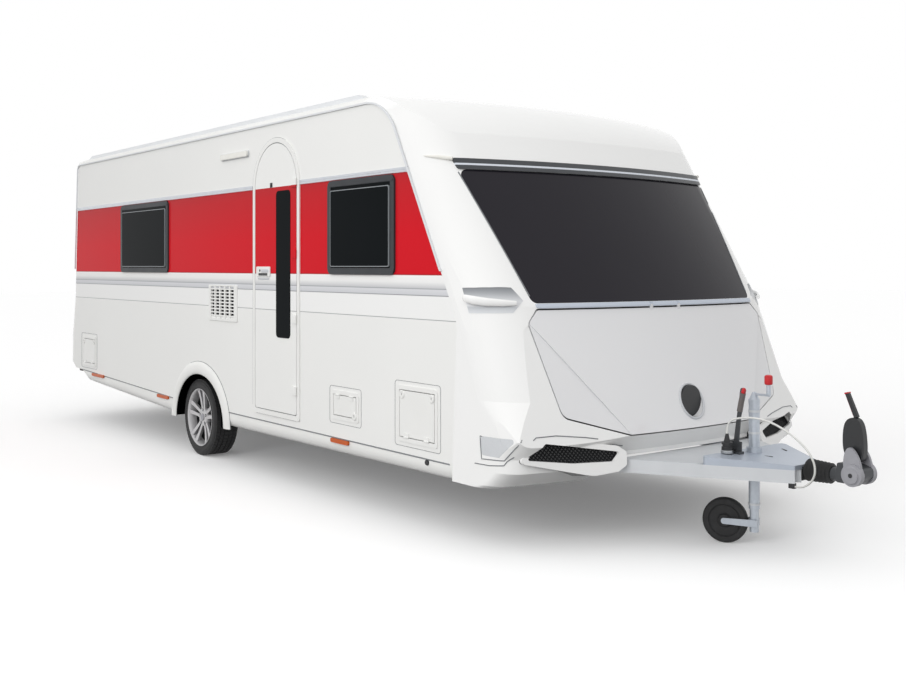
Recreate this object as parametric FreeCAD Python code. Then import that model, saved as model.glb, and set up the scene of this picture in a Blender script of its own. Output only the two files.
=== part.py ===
import FreeCAD, Part
import math
import os

V = FreeCAD.Vector

# Travel caravan. The model is drawn with x = 0 at the axle, and moved at the end so that the
# origin is under the middle of its length. x points forward, y to the left, z up from the ground.

# Body, outside sizes
half_width = 1250.0
wall = 34.0
roof_z = 2625.0
edge_steps = ((1.0, 0.0, 45.0, 450.0), (16.0, 31.0, 106.0, 540.0), (60.0, 55.0, 306.0, 740.0))
nose_r = 740.0
nose_lift = 8.0
tail_top_r = 150.0
front_bow_r = 4500.0
rear_bow_r = 5200.0
floor_z = 480.0
floor_thick = 45.0

# Front line at the middle of the body, from the bumper's lower edge up to the window's foot
bumper_bottom = (3940.0, 330.0)
bumper_chin = (4021.0, 352.0)
bumper_low = (4128.0, 435.0)
bumper_high = (4131.0, 512.0)
lid_foot = (4200.0, 612.0)
window_foot = (3929.0, 1324.0)
window_rake = 0.594
ahead_x = lid_foot[0] + 200.0
window_cut_x = 2900.0
lid_cut_x = 3500.0
bumper_corner_r = 140.0
front_corner_r = 330.0

# Rear line at the middle of the body
tail_bottom = (-3112.0, 512.0)
tail_bumper_low = (-3219.0, 574.0)
tail_bumper_high = (-3219.0, 835.0)
tail_waist = (-3134.0, 1199.0)
tail_top = (-3053.0, 2337.0)
rear_corner_r = 110.0

# Side wall panel
wall_top_z = 2577.0
wall_foot_z = 420.0
wall_foot_rear_z = 516.0
wall_foot_kink_x = -100.0
wall_front_foot_x = 3465.0
wall_front_kink = (3506.0, 1235.0)
wall_front_top_x = 2794.0
wall_front_r = 376.0
wall_rear_top_x = -2827.0
wall_rear_foot_x = -2985.0
front_edge_slope = 0.536
rear_edge_slope = 0.0766
skirt_foot_z = 308.0
skirt_foot_rear_z = 425.0
skirt_rear_x = -2709.0
skirt_thick = 12.0

# Wheels and axle
tyre_r = 311.0
tyre_width = 205.0
tyre_outer_y = 1210.0
rim_r = 231.0
hub_y = 1140.0
stub_r = 20.0
hub_clearance = 0.5
beam_x = 120.0
beam_z = 285.0
beam_r = 50.0
arm_y = 955.0
arm_thick = 40.0

# Wheel arch in the side view
arch_front_x = 500.0
arch_rear_x = -400.0
arch_top_z = 684.0
arch_r = 330.0
arch_trim_width = 95.0
arch_trim_out = 22.0
tub_inner_y = 890.0
tub_top_z = 730.0
tub_wall = 6.0
tub_margin = 25.0

# Entrance door
door_x = (1083.0, 1694.0)
door_sill_z = 512.0
door_top_z = 2429.0
door_gap = 6.0
door_trim_width = 40.0
door_trim_out = 9.5
door_window_x = (1405.0, 1611.0)
door_window_z = (1040.0, 2086.0)
door_window_r = 34.0
hinge_z = (680.0, 1180.0, 1634.0, 2130.0)
hinge_r = 6.0
hinge_out = arch_trim_out - hinge_r
handle_x = (1091.0, 1250.0)
handle_z = (1470.0, 1560.0)
handle_out = 9.0
handle_rim = 18.0

# Windows: x or y from, to, then z from, to, at the outside of the frame
window_z = (1495.0, 2110.0)
windows_right = ((2116.0, 2898.0), (-1617.0, -523.0))
windows_left = ((1980.0, 2898.0), (300.0, 1250.0), (-2300.0, -1100.0))
window_frame_width = 42.0
window_frame_r = 45.0
window_frame_out = 14.0
pane_thick = 20.0
rear_window_y = (-620.0, 620.0)
rear_window_z = (1500.0, 2060.0)

# Front window, its rails and the locker lid, as seen from the front
glass_top = (1078.0, 2112.0)
glass_foot = (947.0, 1348.0)
glass_thick = 10.0
top_rail_half = 1096.0
top_rail_z = 2189.0
lid_kink = (1010.0, 1232.0)
lid_corner = (927.0, 727.0)
lid_vertex = (532.0, 612.0)
lid_top_half = 935.0
lid_gap = 8.0
lid_drop = 22.0
lid_facet_x = (3846.0, 4038.0, 4167.0)

# The lid's hinge and latch, the rails' height over the skin, and the gap at a seat
lid_hinge_y = 120.0
lid_hinge_z = 1326.0
lid_hinge_r = 5.0
lid_hinge_half = 12.0
rail_out = 14.0
seat_gap = 0.3
latch_z = 758.0
latch_r = 92.0

# Locker behind the front panel
bulkhead_x = 3330.0
bulkhead_z = 1340.0
bulkhead_thick = 25.0

# Chassis
rail_y = 850.0
rail_height = 140.0
rail_flange = 50.0
rail_wall = 5.0
rail_x = (-2900.0, 3742.7)
rail_step_x = -1300.0
rail_rear_height = 75.0
rail_hole_count = 8
rail_hole_r = 38.0
rail_hole_clear = 250.0
cross_x = (-2600.0, -900.0, 1500.0, 3300.0)
cross_height = 70.0
cross_width = 44.0
cross_wall = 4.0
drawbar_root = (3743.0, 850.0)
drawbar_tip = (4929.0, 111.0)
drawbar_height = 70.0
drawbar_width = 50.0
drawbar_wall = 4.0
drawbar_top_z = 478.0
deck_x = (4120.0, 4508.0)
deck_thick = 3.0
notch_gap = 8.0
cover_x = (4510.0, 4929.0)
cover_rise = (48.0, 21.0)
cover_wall = 3.0

# Coupling
coupling_z = 492.0
coupling_top = 50.0
tube_r = 25.0
tube_z = 472.0
housing_x = (4700.0, 4934.0)
housing_half = 45.0
housing_drop = 56.0
housing_rise = 12.0
gaiter_x = (4934.3, 5085.0)
gaiter_r = 60.0
pad_x = 5213.0
pad_r = 57.0
tip_x = 5290.0

# Jockey wheel
jockey_x = 4588.0
jockey_outer_r = 30.0
jockey_inner_r = 25.0
jockey_gap = 0.4
jockey_top_z = 812.0
jockey_outer_foot_z = 205.0
jockey_leg_foot_z = 150.0
jockey_sleeve_z = (76.0, 149.7)
jockey_wheel_r = 126.0
jockey_wheel_width = 58.0
jockey_trail = 160.0
jockey_heading = 205.5
jockey_axle_r = 8.0
jockey_strap_gap = 5.0
handbrake_at = (4556.0, -126.0)
handbrake_top_z = 882.0

# Corner steadies
steady_x = (-2450.0, 3080.0)
steady_y = 700.0
steady_z = 400.0
steady_length = 470.0
steady_pin_r = 9.0
steady_pin_gap = 0.05

# Where the roof panel ends, and the whole model's middle
front_split_x = 2550.0
rear_split_x = -2760.0
tail_x = tail_bumper_low[0]
middle_x = (tip_x + tail_x) / 2

# Flaps and vent in the side walls
hatches = {
    "front_hatch": ((2919.0, 3330.0), (494.0, 833.0)),
    "rear_hatch": ((-2694.0, -2306.0), (559.0, 852.0)),
    "filler_flap": ((2155.0, 2487.0), (543.0, 735.0)),
}
hatch_r = 22.0
hatch_gap = 5.0
hatch_hinge_r = 4.0
hatch_hinge_half = 22.0
hatch_rim = 26.0
hatch_out = 5.0
vent_x = (278.0, 775.0)
vent_z = (1122.0, 1403.0)
vent_rim = 36.0
vent_slats = 9

# Wheel pattern
spoke_count = 5
bolt_circle_r = 56.0

# Roof hatches, as (x, y, length, width)
roof_hatches = ((-1750.0, 0.0, 440.0, 440.0), (300.0, 0.0, 700.0, 520.0), (2000.0, 0.0, 440.0, 440.0))

# Bumper horns: at each side a raised bezel round a dark grille. Its front is a flat face that
# leans back and turns towards the side, given by its inner end and two slopes.
horn_tip = (4190.0, 589.0, 500.0)
horn_turn = -0.33
horn_lean = -0.25
horn_outline = ((-1200.0, 496.0, 20), (-1095.0, 630.0, 35), (-632.0, 559.0, 25), (-589.0, 526.0, 20),
                (-600.0, 456.0, 25), (-655.0, 424.0, 30), (-800.0, 408.0, 200))
horn_depth = 150.0
horn_flare = 25.0
grille_outline = ((-1160.0, 510.0, 8), (-1062.0, 594.0, 18), (-624.0, 527.0, 10), (-674.0, 478.0, 15),
                  (-900.0, 480.0, 200))
grille_depth = 22.0
insert_sleeve = 10.0
insert_depth = 40.0

# End lamps, side lamps and porch lamp
corner_lamp = ((3715.0, 617.0, 15), (3732.0, 515.0, 15), (3876.0, 518.0, 20), (4005.0, 628.0, 15))
corner_lamp_reach = 200.0
lamp_thick = 26.0
fin_lamp = ((3110.0, -1210.0, 2224.0), (3222.0, -1138.0, 2198.0))
fin_lamp_r = 13.0
rear_lamp_y = (1020.0, 1175.0)
rear_lamp_z = (640.0, 1000.0)
rear_lamp_out = 12.0
side_lamps = ((2155.0, 2374.0, 403.0), (-759.0, -520.0, 424.0), (-2397.0, -2074.0, 480.0))
porch_lamp = ((504.0, 965.0), (2370.0, 2414.0))

# Grab handles, as a path round the right front corner
grab_z = 1350.0
grab_r = 11.0
grab_path = ((3548.0, -1222.0), (3572.0, -1256.0), (3664.0, -1236.0), (3748.0, -1168.0), (3792.0, -1096.0),
             (3768.0, -1072.0))

# Cable: hand-chosen points from the plug up, over and back under the drawbar's tip
cable_r = 5.5
cable_route = [
    (4545, -181, 632), (4545, -181, 676), (4574, -179, 711), (4622, -172, 724), (4683, -166, 733),
    (4750, -159, 732), (4815, -152, 719), (4876, -145, 695), (4931, -139, 665), (4983, -132, 629),
    (5027, -126, 585), (5055, -121, 533), (5057, -117, 481), (5034, -112, 436), (4995, -108, 406),
    (4956, -102, 391), (4925, -102, 391),
]

parts = {}


# Outlines: corners are (a, b) or (a, b, radius), and place() puts (a, b) into space
def outline(points, place):
    count = len(points)
    edges = []
    turns = []
    for i, point in enumerate(points):
        here = V(point[0], point[1], 0)
        radius = point[2] if len(point) > 2 else 0
        if radius <= 0:
            turns.append((here, here, None))
            continue
        before = points[i - 1]
        after = points[(i + 1) % count]
        back = (V(before[0], before[1], 0) - here).normalize()
        ahead = (V(after[0], after[1], 0) - here).normalize()
        half = math.acos(max(-1.0, min(1.0, back.dot(ahead)))) / 2
        run = radius / math.tan(half)
        centre = here + (back + ahead).normalize() * (radius / math.sin(half))
        crown = centre - (back + ahead).normalize() * radius
        turns.append((here + back * run, here + ahead * run, crown))
    for i in range(count):
        start, end, crown = turns[i]
        if crown is not None:
            arc = Part.Arc(place(start.x, start.y), place(crown.x, crown.y), place(end.x, end.y))
            edges.append(arc.toShape())
        following = turns[(i + 1) % count][0]
        if (following - end).Length > 1e-6:
            edges.append(Part.LineSegment(place(end.x, end.y), place(following.x, following.y)).toShape())
    return Part.Face(Part.Wire(edges))


# Prisms from an outline in the side view, the front view and the plan
def side_prism(points, y0, y1):
    return outline(points, lambda a, b: V(a, y0, b)).extrude(V(0, y1 - y0, 0))


def front_prism(points, x0, x1):
    return outline(points, lambda a, b: V(x0, a, b)).extrude(V(x1 - x0, 0, 0))


def plan_prism(points, z0, z1):
    return outline(points, lambda a, b: V(a, b, z0)).extrude(V(0, 0, z1 - z0))


def block(x0, x1, y0, y1, z0, z1):
    return Part.makeBox(x1 - x0, y1 - y0, z1 - z0, V(x0, y0, z0))


def rod(start, end, radius):
    axis = end - start
    return Part.makeCylinder(radius, axis.Length, start, axis)


def rectangle(a, b, radius=0.0, grow=0.0):
    r = max(radius + grow, 0.0)
    low_a, high_a = a[0] - grow, a[1] + grow
    low_b, high_b = b[0] - grow, b[1] + grow
    return [(low_a, low_b, r), (high_a, low_b, r), (high_a, high_b, r), (low_a, high_b, r)]


def mirrored(shape):
    return shape.mirror(V(0, 0, 0), V(0, 1, 0))


def both_sides(shape):
    return Part.makeCompound([shape, mirrored(shape)])


def moved(shape, x=0.0, y=0.0, z=0.0):
    copy = shape.copy()
    copy.translate(V(x, y, z))
    return copy


def keep(name, shape):
    parts[name] = shape


def main_solid(shape):
    return max(shape.Solids, key=lambda solid: solid.Volume)


# The body's form. A front line and a rear line give the ends at the middle, a bow rounds them
# in plan, and `inset` moves every face inwards, for the inside of the walls.
def front_x(z):
    line = [bumper_bottom, bumper_chin, bumper_low, bumper_high, lid_foot, window_foot]
    return follow(line, z, -window_rake)


def rear_x(z):
    line = [tail_bottom, tail_bumper_low, tail_bumper_high, tail_waist, tail_top]
    slope = (tail_top[0] - tail_waist[0]) / (tail_top[1] - tail_waist[1])
    return follow(line, z, slope)


def follow(line, z, last_slope):
    if z <= line[0][1]:
        return line[0][0]
    for (x0, z0), (x1, z1) in zip(line, line[1:]):
        if z <= z1:
            return x0 + (x1 - x0) * (z - z0) / (z1 - z0)
    return line[-1][0] + last_slope * (z - line[-1][1])


def lean(inset):
    return inset * math.hypot(1.0, window_rake)


def surface_x(y, z):
    bow = front_bow_r - window_foot[0] + front_x(z)
    return front_x(z) - bow + math.sqrt(bow ** 2 - y ** 2)


def plan_wire(z, inset):
    half = half_width - inset
    nose = front_x(z) - lean(inset)
    tail = rear_x(z) + inset
    fade = min(1.0, max(0.0, (z - lid_foot[1]) / 200.0))
    r_front = bumper_corner_r + (front_corner_r - bumper_corner_r) * fade - inset
    r_rear = rear_corner_r - inset
    bow_front = front_bow_r - window_foot[0] + front_x(z) - lean(inset)
    centre_front = nose - bow_front
    centre_rear = tail + rear_bow_r
    # Corner arc between a side line and the bow: its centre lies r inside both
    cx = centre_front + math.sqrt((bow_front - r_front) ** 2 - (half - r_front) ** 2)
    cy = half - r_front
    ux, uy = (cx - centre_front) / (bow_front - r_front), cy / (bow_front - r_front)
    bx, by = centre_front + ux * bow_front, uy * bow_front
    mid = V(ux, uy + 1.0, 0).normalize()
    dx = centre_rear - math.sqrt((rear_bow_r - r_rear) ** 2 - (half - r_rear) ** 2)
    dy = half - r_rear
    wx, wy = (dx - centre_rear) / (rear_bow_r - r_rear), dy / (rear_bow_r - r_rear)
    ex, ey = centre_rear + wx * rear_bow_r, wy * rear_bow_r
    low = V(wx, wy + 1.0, 0).normalize()

    def at(x, y):
        return V(x, y, z)

    edges = [
        Part.LineSegment(at(dx, -half), at(cx, -half)),
        Part.Arc(at(cx, -half), at(cx + mid.x * r_front, -cy - mid.y * r_front), at(bx, -by)),
        Part.Arc(at(bx, -by), at(nose, 0), at(bx, by)),
        Part.Arc(at(bx, by), at(cx + mid.x * r_front, cy + mid.y * r_front), at(cx, half)),
        Part.LineSegment(at(cx, half), at(dx, half)),
        Part.Arc(at(dx, half), at(dx + low.x * r_rear, dy + low.y * r_rear), at(ex, ey)),
        Part.Arc(at(ex, ey), at(tail, 0), at(ex, -ey)),
        Part.Arc(at(ex, -ey), at(dx + low.x * r_rear, -dy - low.y * r_rear), at(dx, -half)),
    ]
    return Part.Wire([edge.toShape() for edge in edges])


def body_form(inset, foot):
    top = roof_z + 100.0
    levels = {foot, top, lid_foot[1] + 200.0}
    for point in (bumper_bottom, bumper_chin, bumper_low, bumper_high, lid_foot, window_foot,
                  tail_bottom, tail_bumper_low, tail_bumper_high, tail_waist):
        if foot < point[1] < top:
            levels.add(point[1])
    levels = sorted(levels)
    tower = None
    for z0, z1 in zip(levels, levels[1:]):
        piece = Part.makeLoft([plan_wire(z0, inset), plan_wire(z1, inset)], True, True)
        tower = piece if tower is None else tower.fuse(piece)
    # The rounded roof line in the side view, turned about the centre of the front bow
    centre = window_foot[0] - front_bow_r
    roof = roof_z - inset
    apex = window_foot[0] - window_rake * (roof - window_foot[1]) - lean(inset) + nose_lift
    reach = apex + window_rake * (roof - foot)
    nose = outline([(centre, foot), (reach, foot), (apex, roof, nose_r - inset), (centre, roof)],
                   lambda a, b: V(a, 0, b))
    wedge = nose.revolve(V(centre, 0, 0), V(0, 0, 1), 30)
    wedge = wedge.fuse(nose.revolve(V(centre, 0, 0), V(0, 0, 1), -30))
    tail = rear_x(roof_z) + inset
    back = side_prism([(tail - 300, foot), (2000, foot), (2000, roof), (tail, roof, tail_top_r - inset),
                       (tail, foot + 1000)], -half_width - 200, half_width + 200)
    hood = main_solid(wedge.fuse(back).removeSplitter())
    form = main_solid(tower.removeSplitter().common(hood))
    if inset > 0:
        return form
    return main_solid(form.common(edge_cap(foot)))


# The roof's side edges are bevelled in steps, from the awning rail's line up to the roof
def edge_cap(foot):
    def station(step, outwards=0.0):
        depth, rise, shift, radius = step
        y = half_width - depth + outwards
        top_x, top_z = wall_front_top_x + shift, wall_top_z + rise
        low_x = top_x + (top_z - foot + 100) * front_edge_slope
        return y, [(tail_x - 200, foot - 100), (low_x, foot - 100), (top_x, top_z, radius),
                   (tail_x - 200, top_z)]

    stations = [station(edge_steps[0], 10.0)] + [station(step) for step in edge_steps]
    inner_y = stations[-1][0]
    cap = side_prism([(tail_x - 200, foot - 100), (tip_x, foot - 100), (tip_x, roof_z + 100),
                      (tail_x - 200, roof_z + 100)], -inner_y, inner_y)
    for (y0, points0), (y1, points1) in zip(stations, stations[1:]):
        for side in (-1, 1):
            wires = [outline(points, lambda a, b, y=y: V(a, side * y, b)).OuterWire
                     for y, points in ((y0, points0), (y1, points1))]
            cap = cap.fuse(Part.makeLoft(wires, True, True))
    return main_solid(cap)


# Side wall outline in the side view, and the windows and doors cut in it
def wall_outline():
    return [(wall_rear_foot_x, wall_foot_rear_z), (wall_foot_kink_x, wall_foot_z),
            (wall_front_foot_x, wall_foot_z), (wall_front_kink[0], wall_front_kink[1], 150),
            (wall_front_top_x, wall_top_z, wall_front_r), (wall_rear_top_x, wall_top_z, 60)]


def foot_line(x):
    if x > wall_foot_kink_x:
        return wall_foot_z
    share = (x - wall_foot_kink_x) / (wall_rear_foot_x - wall_foot_kink_x)
    return wall_foot_z + share * (wall_foot_rear_z - wall_foot_z)


def arch_outline(grow):
    return [(arch_rear_x - grow - 12, 150), (arch_rear_x - grow, arch_top_z + grow, arch_r),
            (arch_front_x + grow, arch_top_z + grow, arch_r), (arch_front_x + 70 + grow, 150)]


def door_outline(grow):
    x0, x1 = door_x[0] - grow, door_x[1] + grow
    arch = (x1 - x0) / 2 - 0.5
    return [(x0, door_sill_z - grow, 20), (x1, door_sill_z - grow, 20),
            (x1, door_top_z + grow, arch), (x0, door_top_z + grow, arch)]


def window_hole(x, z, grow=0.0):
    return rectangle(x, z, window_frame_r, grow - window_frame_width / 2)


def side_wall(shell, side, windows):
    y0, y1 = side * (half_width + 5), side * (half_width - wall)
    panel = main_solid(shell.common(side_prism(wall_outline(), y0, y1)))
    cuts = [side_prism(arch_outline(0), y0 + side, y1 - side)]
    for x in windows:
        cuts.append(side_prism(window_hole(x, window_z), y0 + side, y1 - side))
    if side < 0:
        cuts.append(side_prism(door_outline(door_gap), y0 + side, y1 - side))
        cuts.append(side_prism(rectangle(vent_x, vent_z, 8, -vent_rim), y0 + side, y1 - side))
        for x, z in hatches.values():
            cuts.append(side_prism(rectangle(x, z, hatch_r, -hatch_rim / 2), y0 + side, y1 - side))
    return main_solid(panel.cut(cuts))


def skirt(side):
    y0, y1 = side * half_width, side * (half_width - skirt_thick)
    points = [(skirt_rear_x, skirt_foot_rear_z + 60), (skirt_rear_x + 60, skirt_foot_rear_z - 15, 30),
              (arch_rear_x - 200, skirt_foot_z + 8), (arch_front_x, skirt_foot_z),
              (wall_front_foot_x, skirt_foot_z + 20), (wall_front_foot_x, wall_foot_z),
              (wall_foot_kink_x, wall_foot_z), (skirt_rear_x, foot_line(skirt_rear_x))]
    panel = side_prism(points, y0, y1).cut(side_prism(arch_outline(0), y0 + side, y1 - side))
    trim = side_prism(arch_outline(arch_trim_width), y0, y0 + side * arch_trim_out)
    trim = trim.cut(side_prism(arch_outline(0), y0 - side, y0 + side * (arch_trim_out + 5)))
    wide = half_width + 150
    trim = trim.common(block(-2000, 2000, -wide, wide, skirt_foot_z - 22, 1200))
    solids = panel.Solids + trim.Solids
    body = solids[0]
    for piece in solids[1:]:
        body = body.fuse(piece)
    return body.removeSplitter()


def wheel_tub(side):
    y0, y1 = side * (half_width - wall), side * tub_inner_y

    def arch(grow):
        rear_x0, front_x0 = arch_rear_x - tub_margin - grow, arch_front_x + tub_margin + grow
        return [(rear_x0, 300), (rear_x0, tub_top_z + grow, arch_r), (front_x0, tub_top_z + grow, arch_r),
                (front_x0, 300)]

    outer = side_prism(arch(0), y0, y1)
    inner = side_prism(arch(-tub_wall), y0 + side, y1 + side * tub_wall)
    tub = outer.cut(inner)
    wide = half_width + 150
    return main_solid(tub.common(block(-3000, 3000, -wide, wide, floor_z, 1000)))


def build_shell():
    outer = body_form(0.0, bumper_bottom[1])
    inner = body_form(wall, bumper_bottom[1] - 30)
    return outer, inner, outer.cut(inner)


def roof_panel():
    # One section all along: the flat roof, its bevelled edges and a lip over each wall
    (depth0, rise0), (depth1, rise1), (depth2, rise2) = [step[:2] for step in edge_steps]
    share = (roof_z - wall_top_z - rise1) / (rise2 - rise1)
    edge = depth1 + (depth2 - depth1) * share
    half = [(half_width - wall, roof_z - wall), (half_width - wall, wall_top_z),
            (half_width - depth0, wall_top_z + rise0), (half_width - depth1, wall_top_z + rise1),
            (half_width - edge, roof_z)]
    profile = half + [(-y, z) for y, z in reversed(half)]
    roof = front_prism(profile, rear_split_x, front_split_x)
    wells = [block(x - long / 2, x + long / 2, y - wide / 2, y + wide / 2, roof_z - 80, roof_z + 5)
             for x, y, long, wide in roof_hatches]
    return main_solid(roof.cut(wells))


def floor_panel(inner):
    slab = inner.common(block(tail_x, ahead_x, -half_width, half_width, floor_z, floor_z + floor_thick))
    wells = [block(door_x[0] - door_gap, door_x[1] + door_gap, -half_width, -half_width + wall + door_gap,
                   floor_z - 5, floor_z + 80)]
    for side in (-1, 1):
        y0, y1 = sorted((side * tub_inner_y, side * (half_width + 10)))
        wells.append(block(arch_rear_x - tub_margin, arch_front_x + tub_margin, y0, y1, floor_z - 5,
                           floor_z + 80))
    return main_solid(slab.cut(wells))


def window_outline(shift):
    top_y, top_z = glass_top
    foot_y, foot_z = glass_foot
    return [(-foot_y - shift, foot_z - shift, 30 + shift), (foot_y + shift, foot_z - shift, 30 + shift),
            (top_y + shift, top_z + shift, 40 + shift), (-top_y - shift, top_z + shift, 40 + shift)]


def lid_outline(grow):
    half = [(lid_vertex[0], lid_vertex[1] - grow, 12),
            (lid_corner[0] + grow * 0.8, lid_corner[1] - grow * 0.8, 60),
            (lid_kink[0] + grow, lid_kink[1], 40),
            (lid_top_half + grow, window_foot[1] - lid_drop + grow, 20)]
    return half + [(-y, z, r) for y, z, r in reversed(half)]


def facet_cut():
    # The plane through the crease and the lid's lower corner on the right side
    kink = V(lid_facet_x[0], -lid_kink[0], lid_kink[1])
    corner = V(lid_facet_x[1], -lid_corner[0], lid_corner[1])
    vertex = V(lid_facet_x[2], -lid_vertex[0], lid_vertex[1])
    normal = (corner - kink).cross(vertex - kink).normalize()
    if normal.x < 0:
        normal = normal * -1
    along = (kink - vertex).normalize()
    across = normal.cross(along)
    if across.y > 0:
        across = across * -1
    start = vertex - along * 60
    corners = [start, start + along * 900, start + along * 900 + across * 700, start + across * 700]
    wire = Part.makePolygon(corners + [start])
    return Part.Face(wire).extrude(normal * 200)


def front_panel(panel):
    cuts = [front_prism(window_outline(8), window_cut_x, ahead_x),
            front_prism(lid_outline(lid_gap), lid_cut_x, ahead_x),
            drawbar_notch(), insert_hole(), mirrored(insert_hole()), corner_lamp_cut(seat_gap),
            mirrored(corner_lamp_cut(seat_gap))]
    return main_solid(panel.cut(cuts))


def tyre(side):
    y0 = side * (tyre_outer_y - tyre_width)
    y1 = side * tyre_outer_y
    points = [(y0 + side * 8, rim_r - 4), (y1 - side * 8, rim_r - 4), (y1, rim_r + 30, 12), (y1, tyre_r, 26),
              (y0, tyre_r, 26), (y0, rim_r + 30, 12)]
    face = outline(points, lambda a, b: V(0, a, b))
    ring = face.revolve(V(0, 0, 0), V(0, 1, 0), 360)
    ring.translate(V(0, 0, tyre_r))
    return ring


def wheel(side):
    def at(a, b):
        return V(0, side * a, b)

    inner_y, outer_y = tyre_outer_y - tyre_width + 4, tyre_outer_y - 4
    seat = rim_r - 4.3
    barrel = outline([(inner_y, seat), (inner_y, seat - 10), (hub_y - 40, seat - 34, 20),
                      (outer_y - 18, seat - 22, 10), (outer_y, seat - 10), (outer_y, seat)], at)
    barrel = barrel.revolve(V(0, 0, 0), V(0, 1, 0), 360)
    hub = outline([(hub_y - 20, stub_r + hub_clearance + 30), (hub_y - 20, 78), (hub_y + 18, 74, 8),
                   (hub_y + 24, stub_r + hub_clearance + 30)], at)
    hub = hub.revolve(V(0, 0, 0), V(0, 1, 0), 360)
    rim = barrel.fuse(hub)
    reach = seat - 16
    for i in range(spoke_count):
        for lean_angle in (-11, 11):
            arm = outline([(60, -13), (reach, -11), (reach, 11), (60, 13)],
                          lambda a, b: V(b, side * (hub_y - 6), a)).extrude(V(0, side * 26, 0))
            arm.rotate(V(0, 0, 0), V(0, 1, 0), i * 360 / spoke_count + lean_angle)
            rim = rim.fuse(arm)
    # Brake drum behind the spokes, turned on the stub axle
    drum = outline([(hub_y - 95, stub_r + hub_clearance), (hub_y - 95, 118), (hub_y - 22, 118, 8),
                    (hub_y - 20, stub_r + hub_clearance + 31), (hub_y + 40, 34), (hub_y + 46, 30, 4),
                    (hub_y + 46, 0.0), (hub_y + 38, 0.0), (hub_y + 38, stub_r + hub_clearance)], at)
    drum = drum.revolve(V(0, 0, 0), V(0, 1, 0), 360)
    rim = rim.fuse(drum)
    for i in range(spoke_count):
        angle = math.radians(36 + i * 360 / spoke_count)
        x, z = bolt_circle_r * math.sin(angle), bolt_circle_r * math.cos(angle)
        rim = rim.cut(rod(V(x, side * (hub_y + 12), z), V(x, side * (hub_y + 40), z), 11))
    rim = main_solid(rim.removeSplitter())
    rim.translate(V(0, 0, tyre_r))
    return rim


def axle_beam():
    points = [(beam_x + beam_r * math.cos(math.radians(a)), beam_z + beam_r * math.sin(math.radians(a)))
              for a in range(30, 390, 60)]
    beam = side_prism(points, -(arm_y - arm_thick / 2), arm_y - arm_thick / 2)
    for side in (-1, 1):
        y0, y1 = sorted((side * (rail_y - 45), side * rail_y))
        plate = block(beam_x - 80, beam_x + 80, y0, y1, beam_z + 20, drawbar_rail_foot())
        beam = beam.fuse(plate)
    return main_solid(beam.removeSplitter())


def drawbar_rail_foot():
    return floor_z - rail_height


def axle_arm(side):
    y0, y1 = side * (arm_y - arm_thick / 2), side * (arm_y + arm_thick / 2)
    x = beam_x
    arm = side_prism([(-45, tyre_r - 45, 40), (x + 48, beam_z - 48, 44), (x + 48, beam_z + 48, 44),
                      (-45, tyre_r + 45, 40)], y0, y1)
    stub = rod(V(0, side * (arm_y + 10), tyre_r), V(0, side * (hub_y + 36), tyre_r), stub_r)
    plate = rod(V(0, y1, tyre_r), V(0, y1 + side * 8, tyre_r), 112)
    step = rod(V(0, y1, tyre_r), V(0, side * (hub_y - 97), tyre_r), 34)
    return main_solid(arm.fuse([stub, plate, step]).removeSplitter())


def rail_channel(x0, x1, side, height):
    z0, z1 = floor_z - height, floor_z
    y_web, y_in = side * rail_y, side * (rail_y - rail_flange)
    w = side * rail_wall
    points = [(y_web, z0), (y_web, z1), (y_in, z1), (y_in, z1 - rail_wall), (y_web - w, z1 - rail_wall),
              (y_web - w, z0 + rail_wall), (y_in, z0 + rail_wall), (y_in, z0)]
    return front_prism(points, x0, x1)


def chassis_rail(side):
    # A deep channel over the axle, with a lower extension to the rear
    x0, x1 = rail_x
    rail = rail_channel(rail_step_x, x1, side, rail_height)
    rail = rail.fuse(rail_channel(x0, rail_step_x, side, rail_rear_height))
    holes = []
    web = side * rail_y
    z = floor_z - rail_height / 2
    for i in range(rail_hole_count):
        x = rail_step_x + (x1 - rail_step_x) * (i + 0.5) / rail_hole_count
        if abs(x - beam_x) > rail_hole_clear:
            holes.append(rod(V(x, web + side, z), V(x, web - side * 3 * rail_wall, z), rail_hole_r))
    return main_solid(rail.cut(holes).removeSplitter())


def cross_member(x):
    half = rail_y - rail_wall
    z0, z1 = floor_z - cross_height, floor_z - rail_wall
    t = cross_wall
    beam = side_prism([(x - cross_width / 2, z0), (x + cross_width / 2, z0), (x + cross_width / 2, z1),
                       (x - cross_width / 2, z1)], -half, half)
    hollow = side_prism([(x - cross_width / 2 + t, z0 + t), (x + cross_width, z0 + t),
                         (x + cross_width, z1 - t), (x - cross_width / 2 + t, z1 - t)], -half - 1, half + 1)
    return beam.cut(hollow)


def drawbar_outer_y(x):
    share = (x - drawbar_root[0]) / (drawbar_tip[0] - drawbar_root[0])
    return drawbar_root[1] + share * (drawbar_tip[1] - drawbar_root[1])


def drawbar_rail(side):
    # A channel, open below, from the chassis rail's bend to the overrun housing
    z0, z1 = drawbar_top_z - drawbar_height, drawbar_top_z
    slope = math.hypot(1.0, (drawbar_root[1] - drawbar_tip[1]) / (drawbar_tip[0] - drawbar_root[0]))
    width, sheet = drawbar_width * slope, drawbar_wall * slope

    def strip(inner, outer, z_low, z_high):
        x0, x1 = drawbar_root[0], drawbar_tip[0]
        corners = [(x0, side * (drawbar_outer_y(x0) - outer)), (x1, side * (drawbar_outer_y(x1) - outer)),
                   (x1, side * (drawbar_outer_y(x1) - inner)), (x0, side * (drawbar_outer_y(x0) - inner))]
        return plan_prism(corners, z_low, z_high)

    channel = strip(0, width, z0, z1).cut(strip(sheet, width - sheet, z0 - 1, z1 - drawbar_wall))
    return main_solid(channel)


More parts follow.
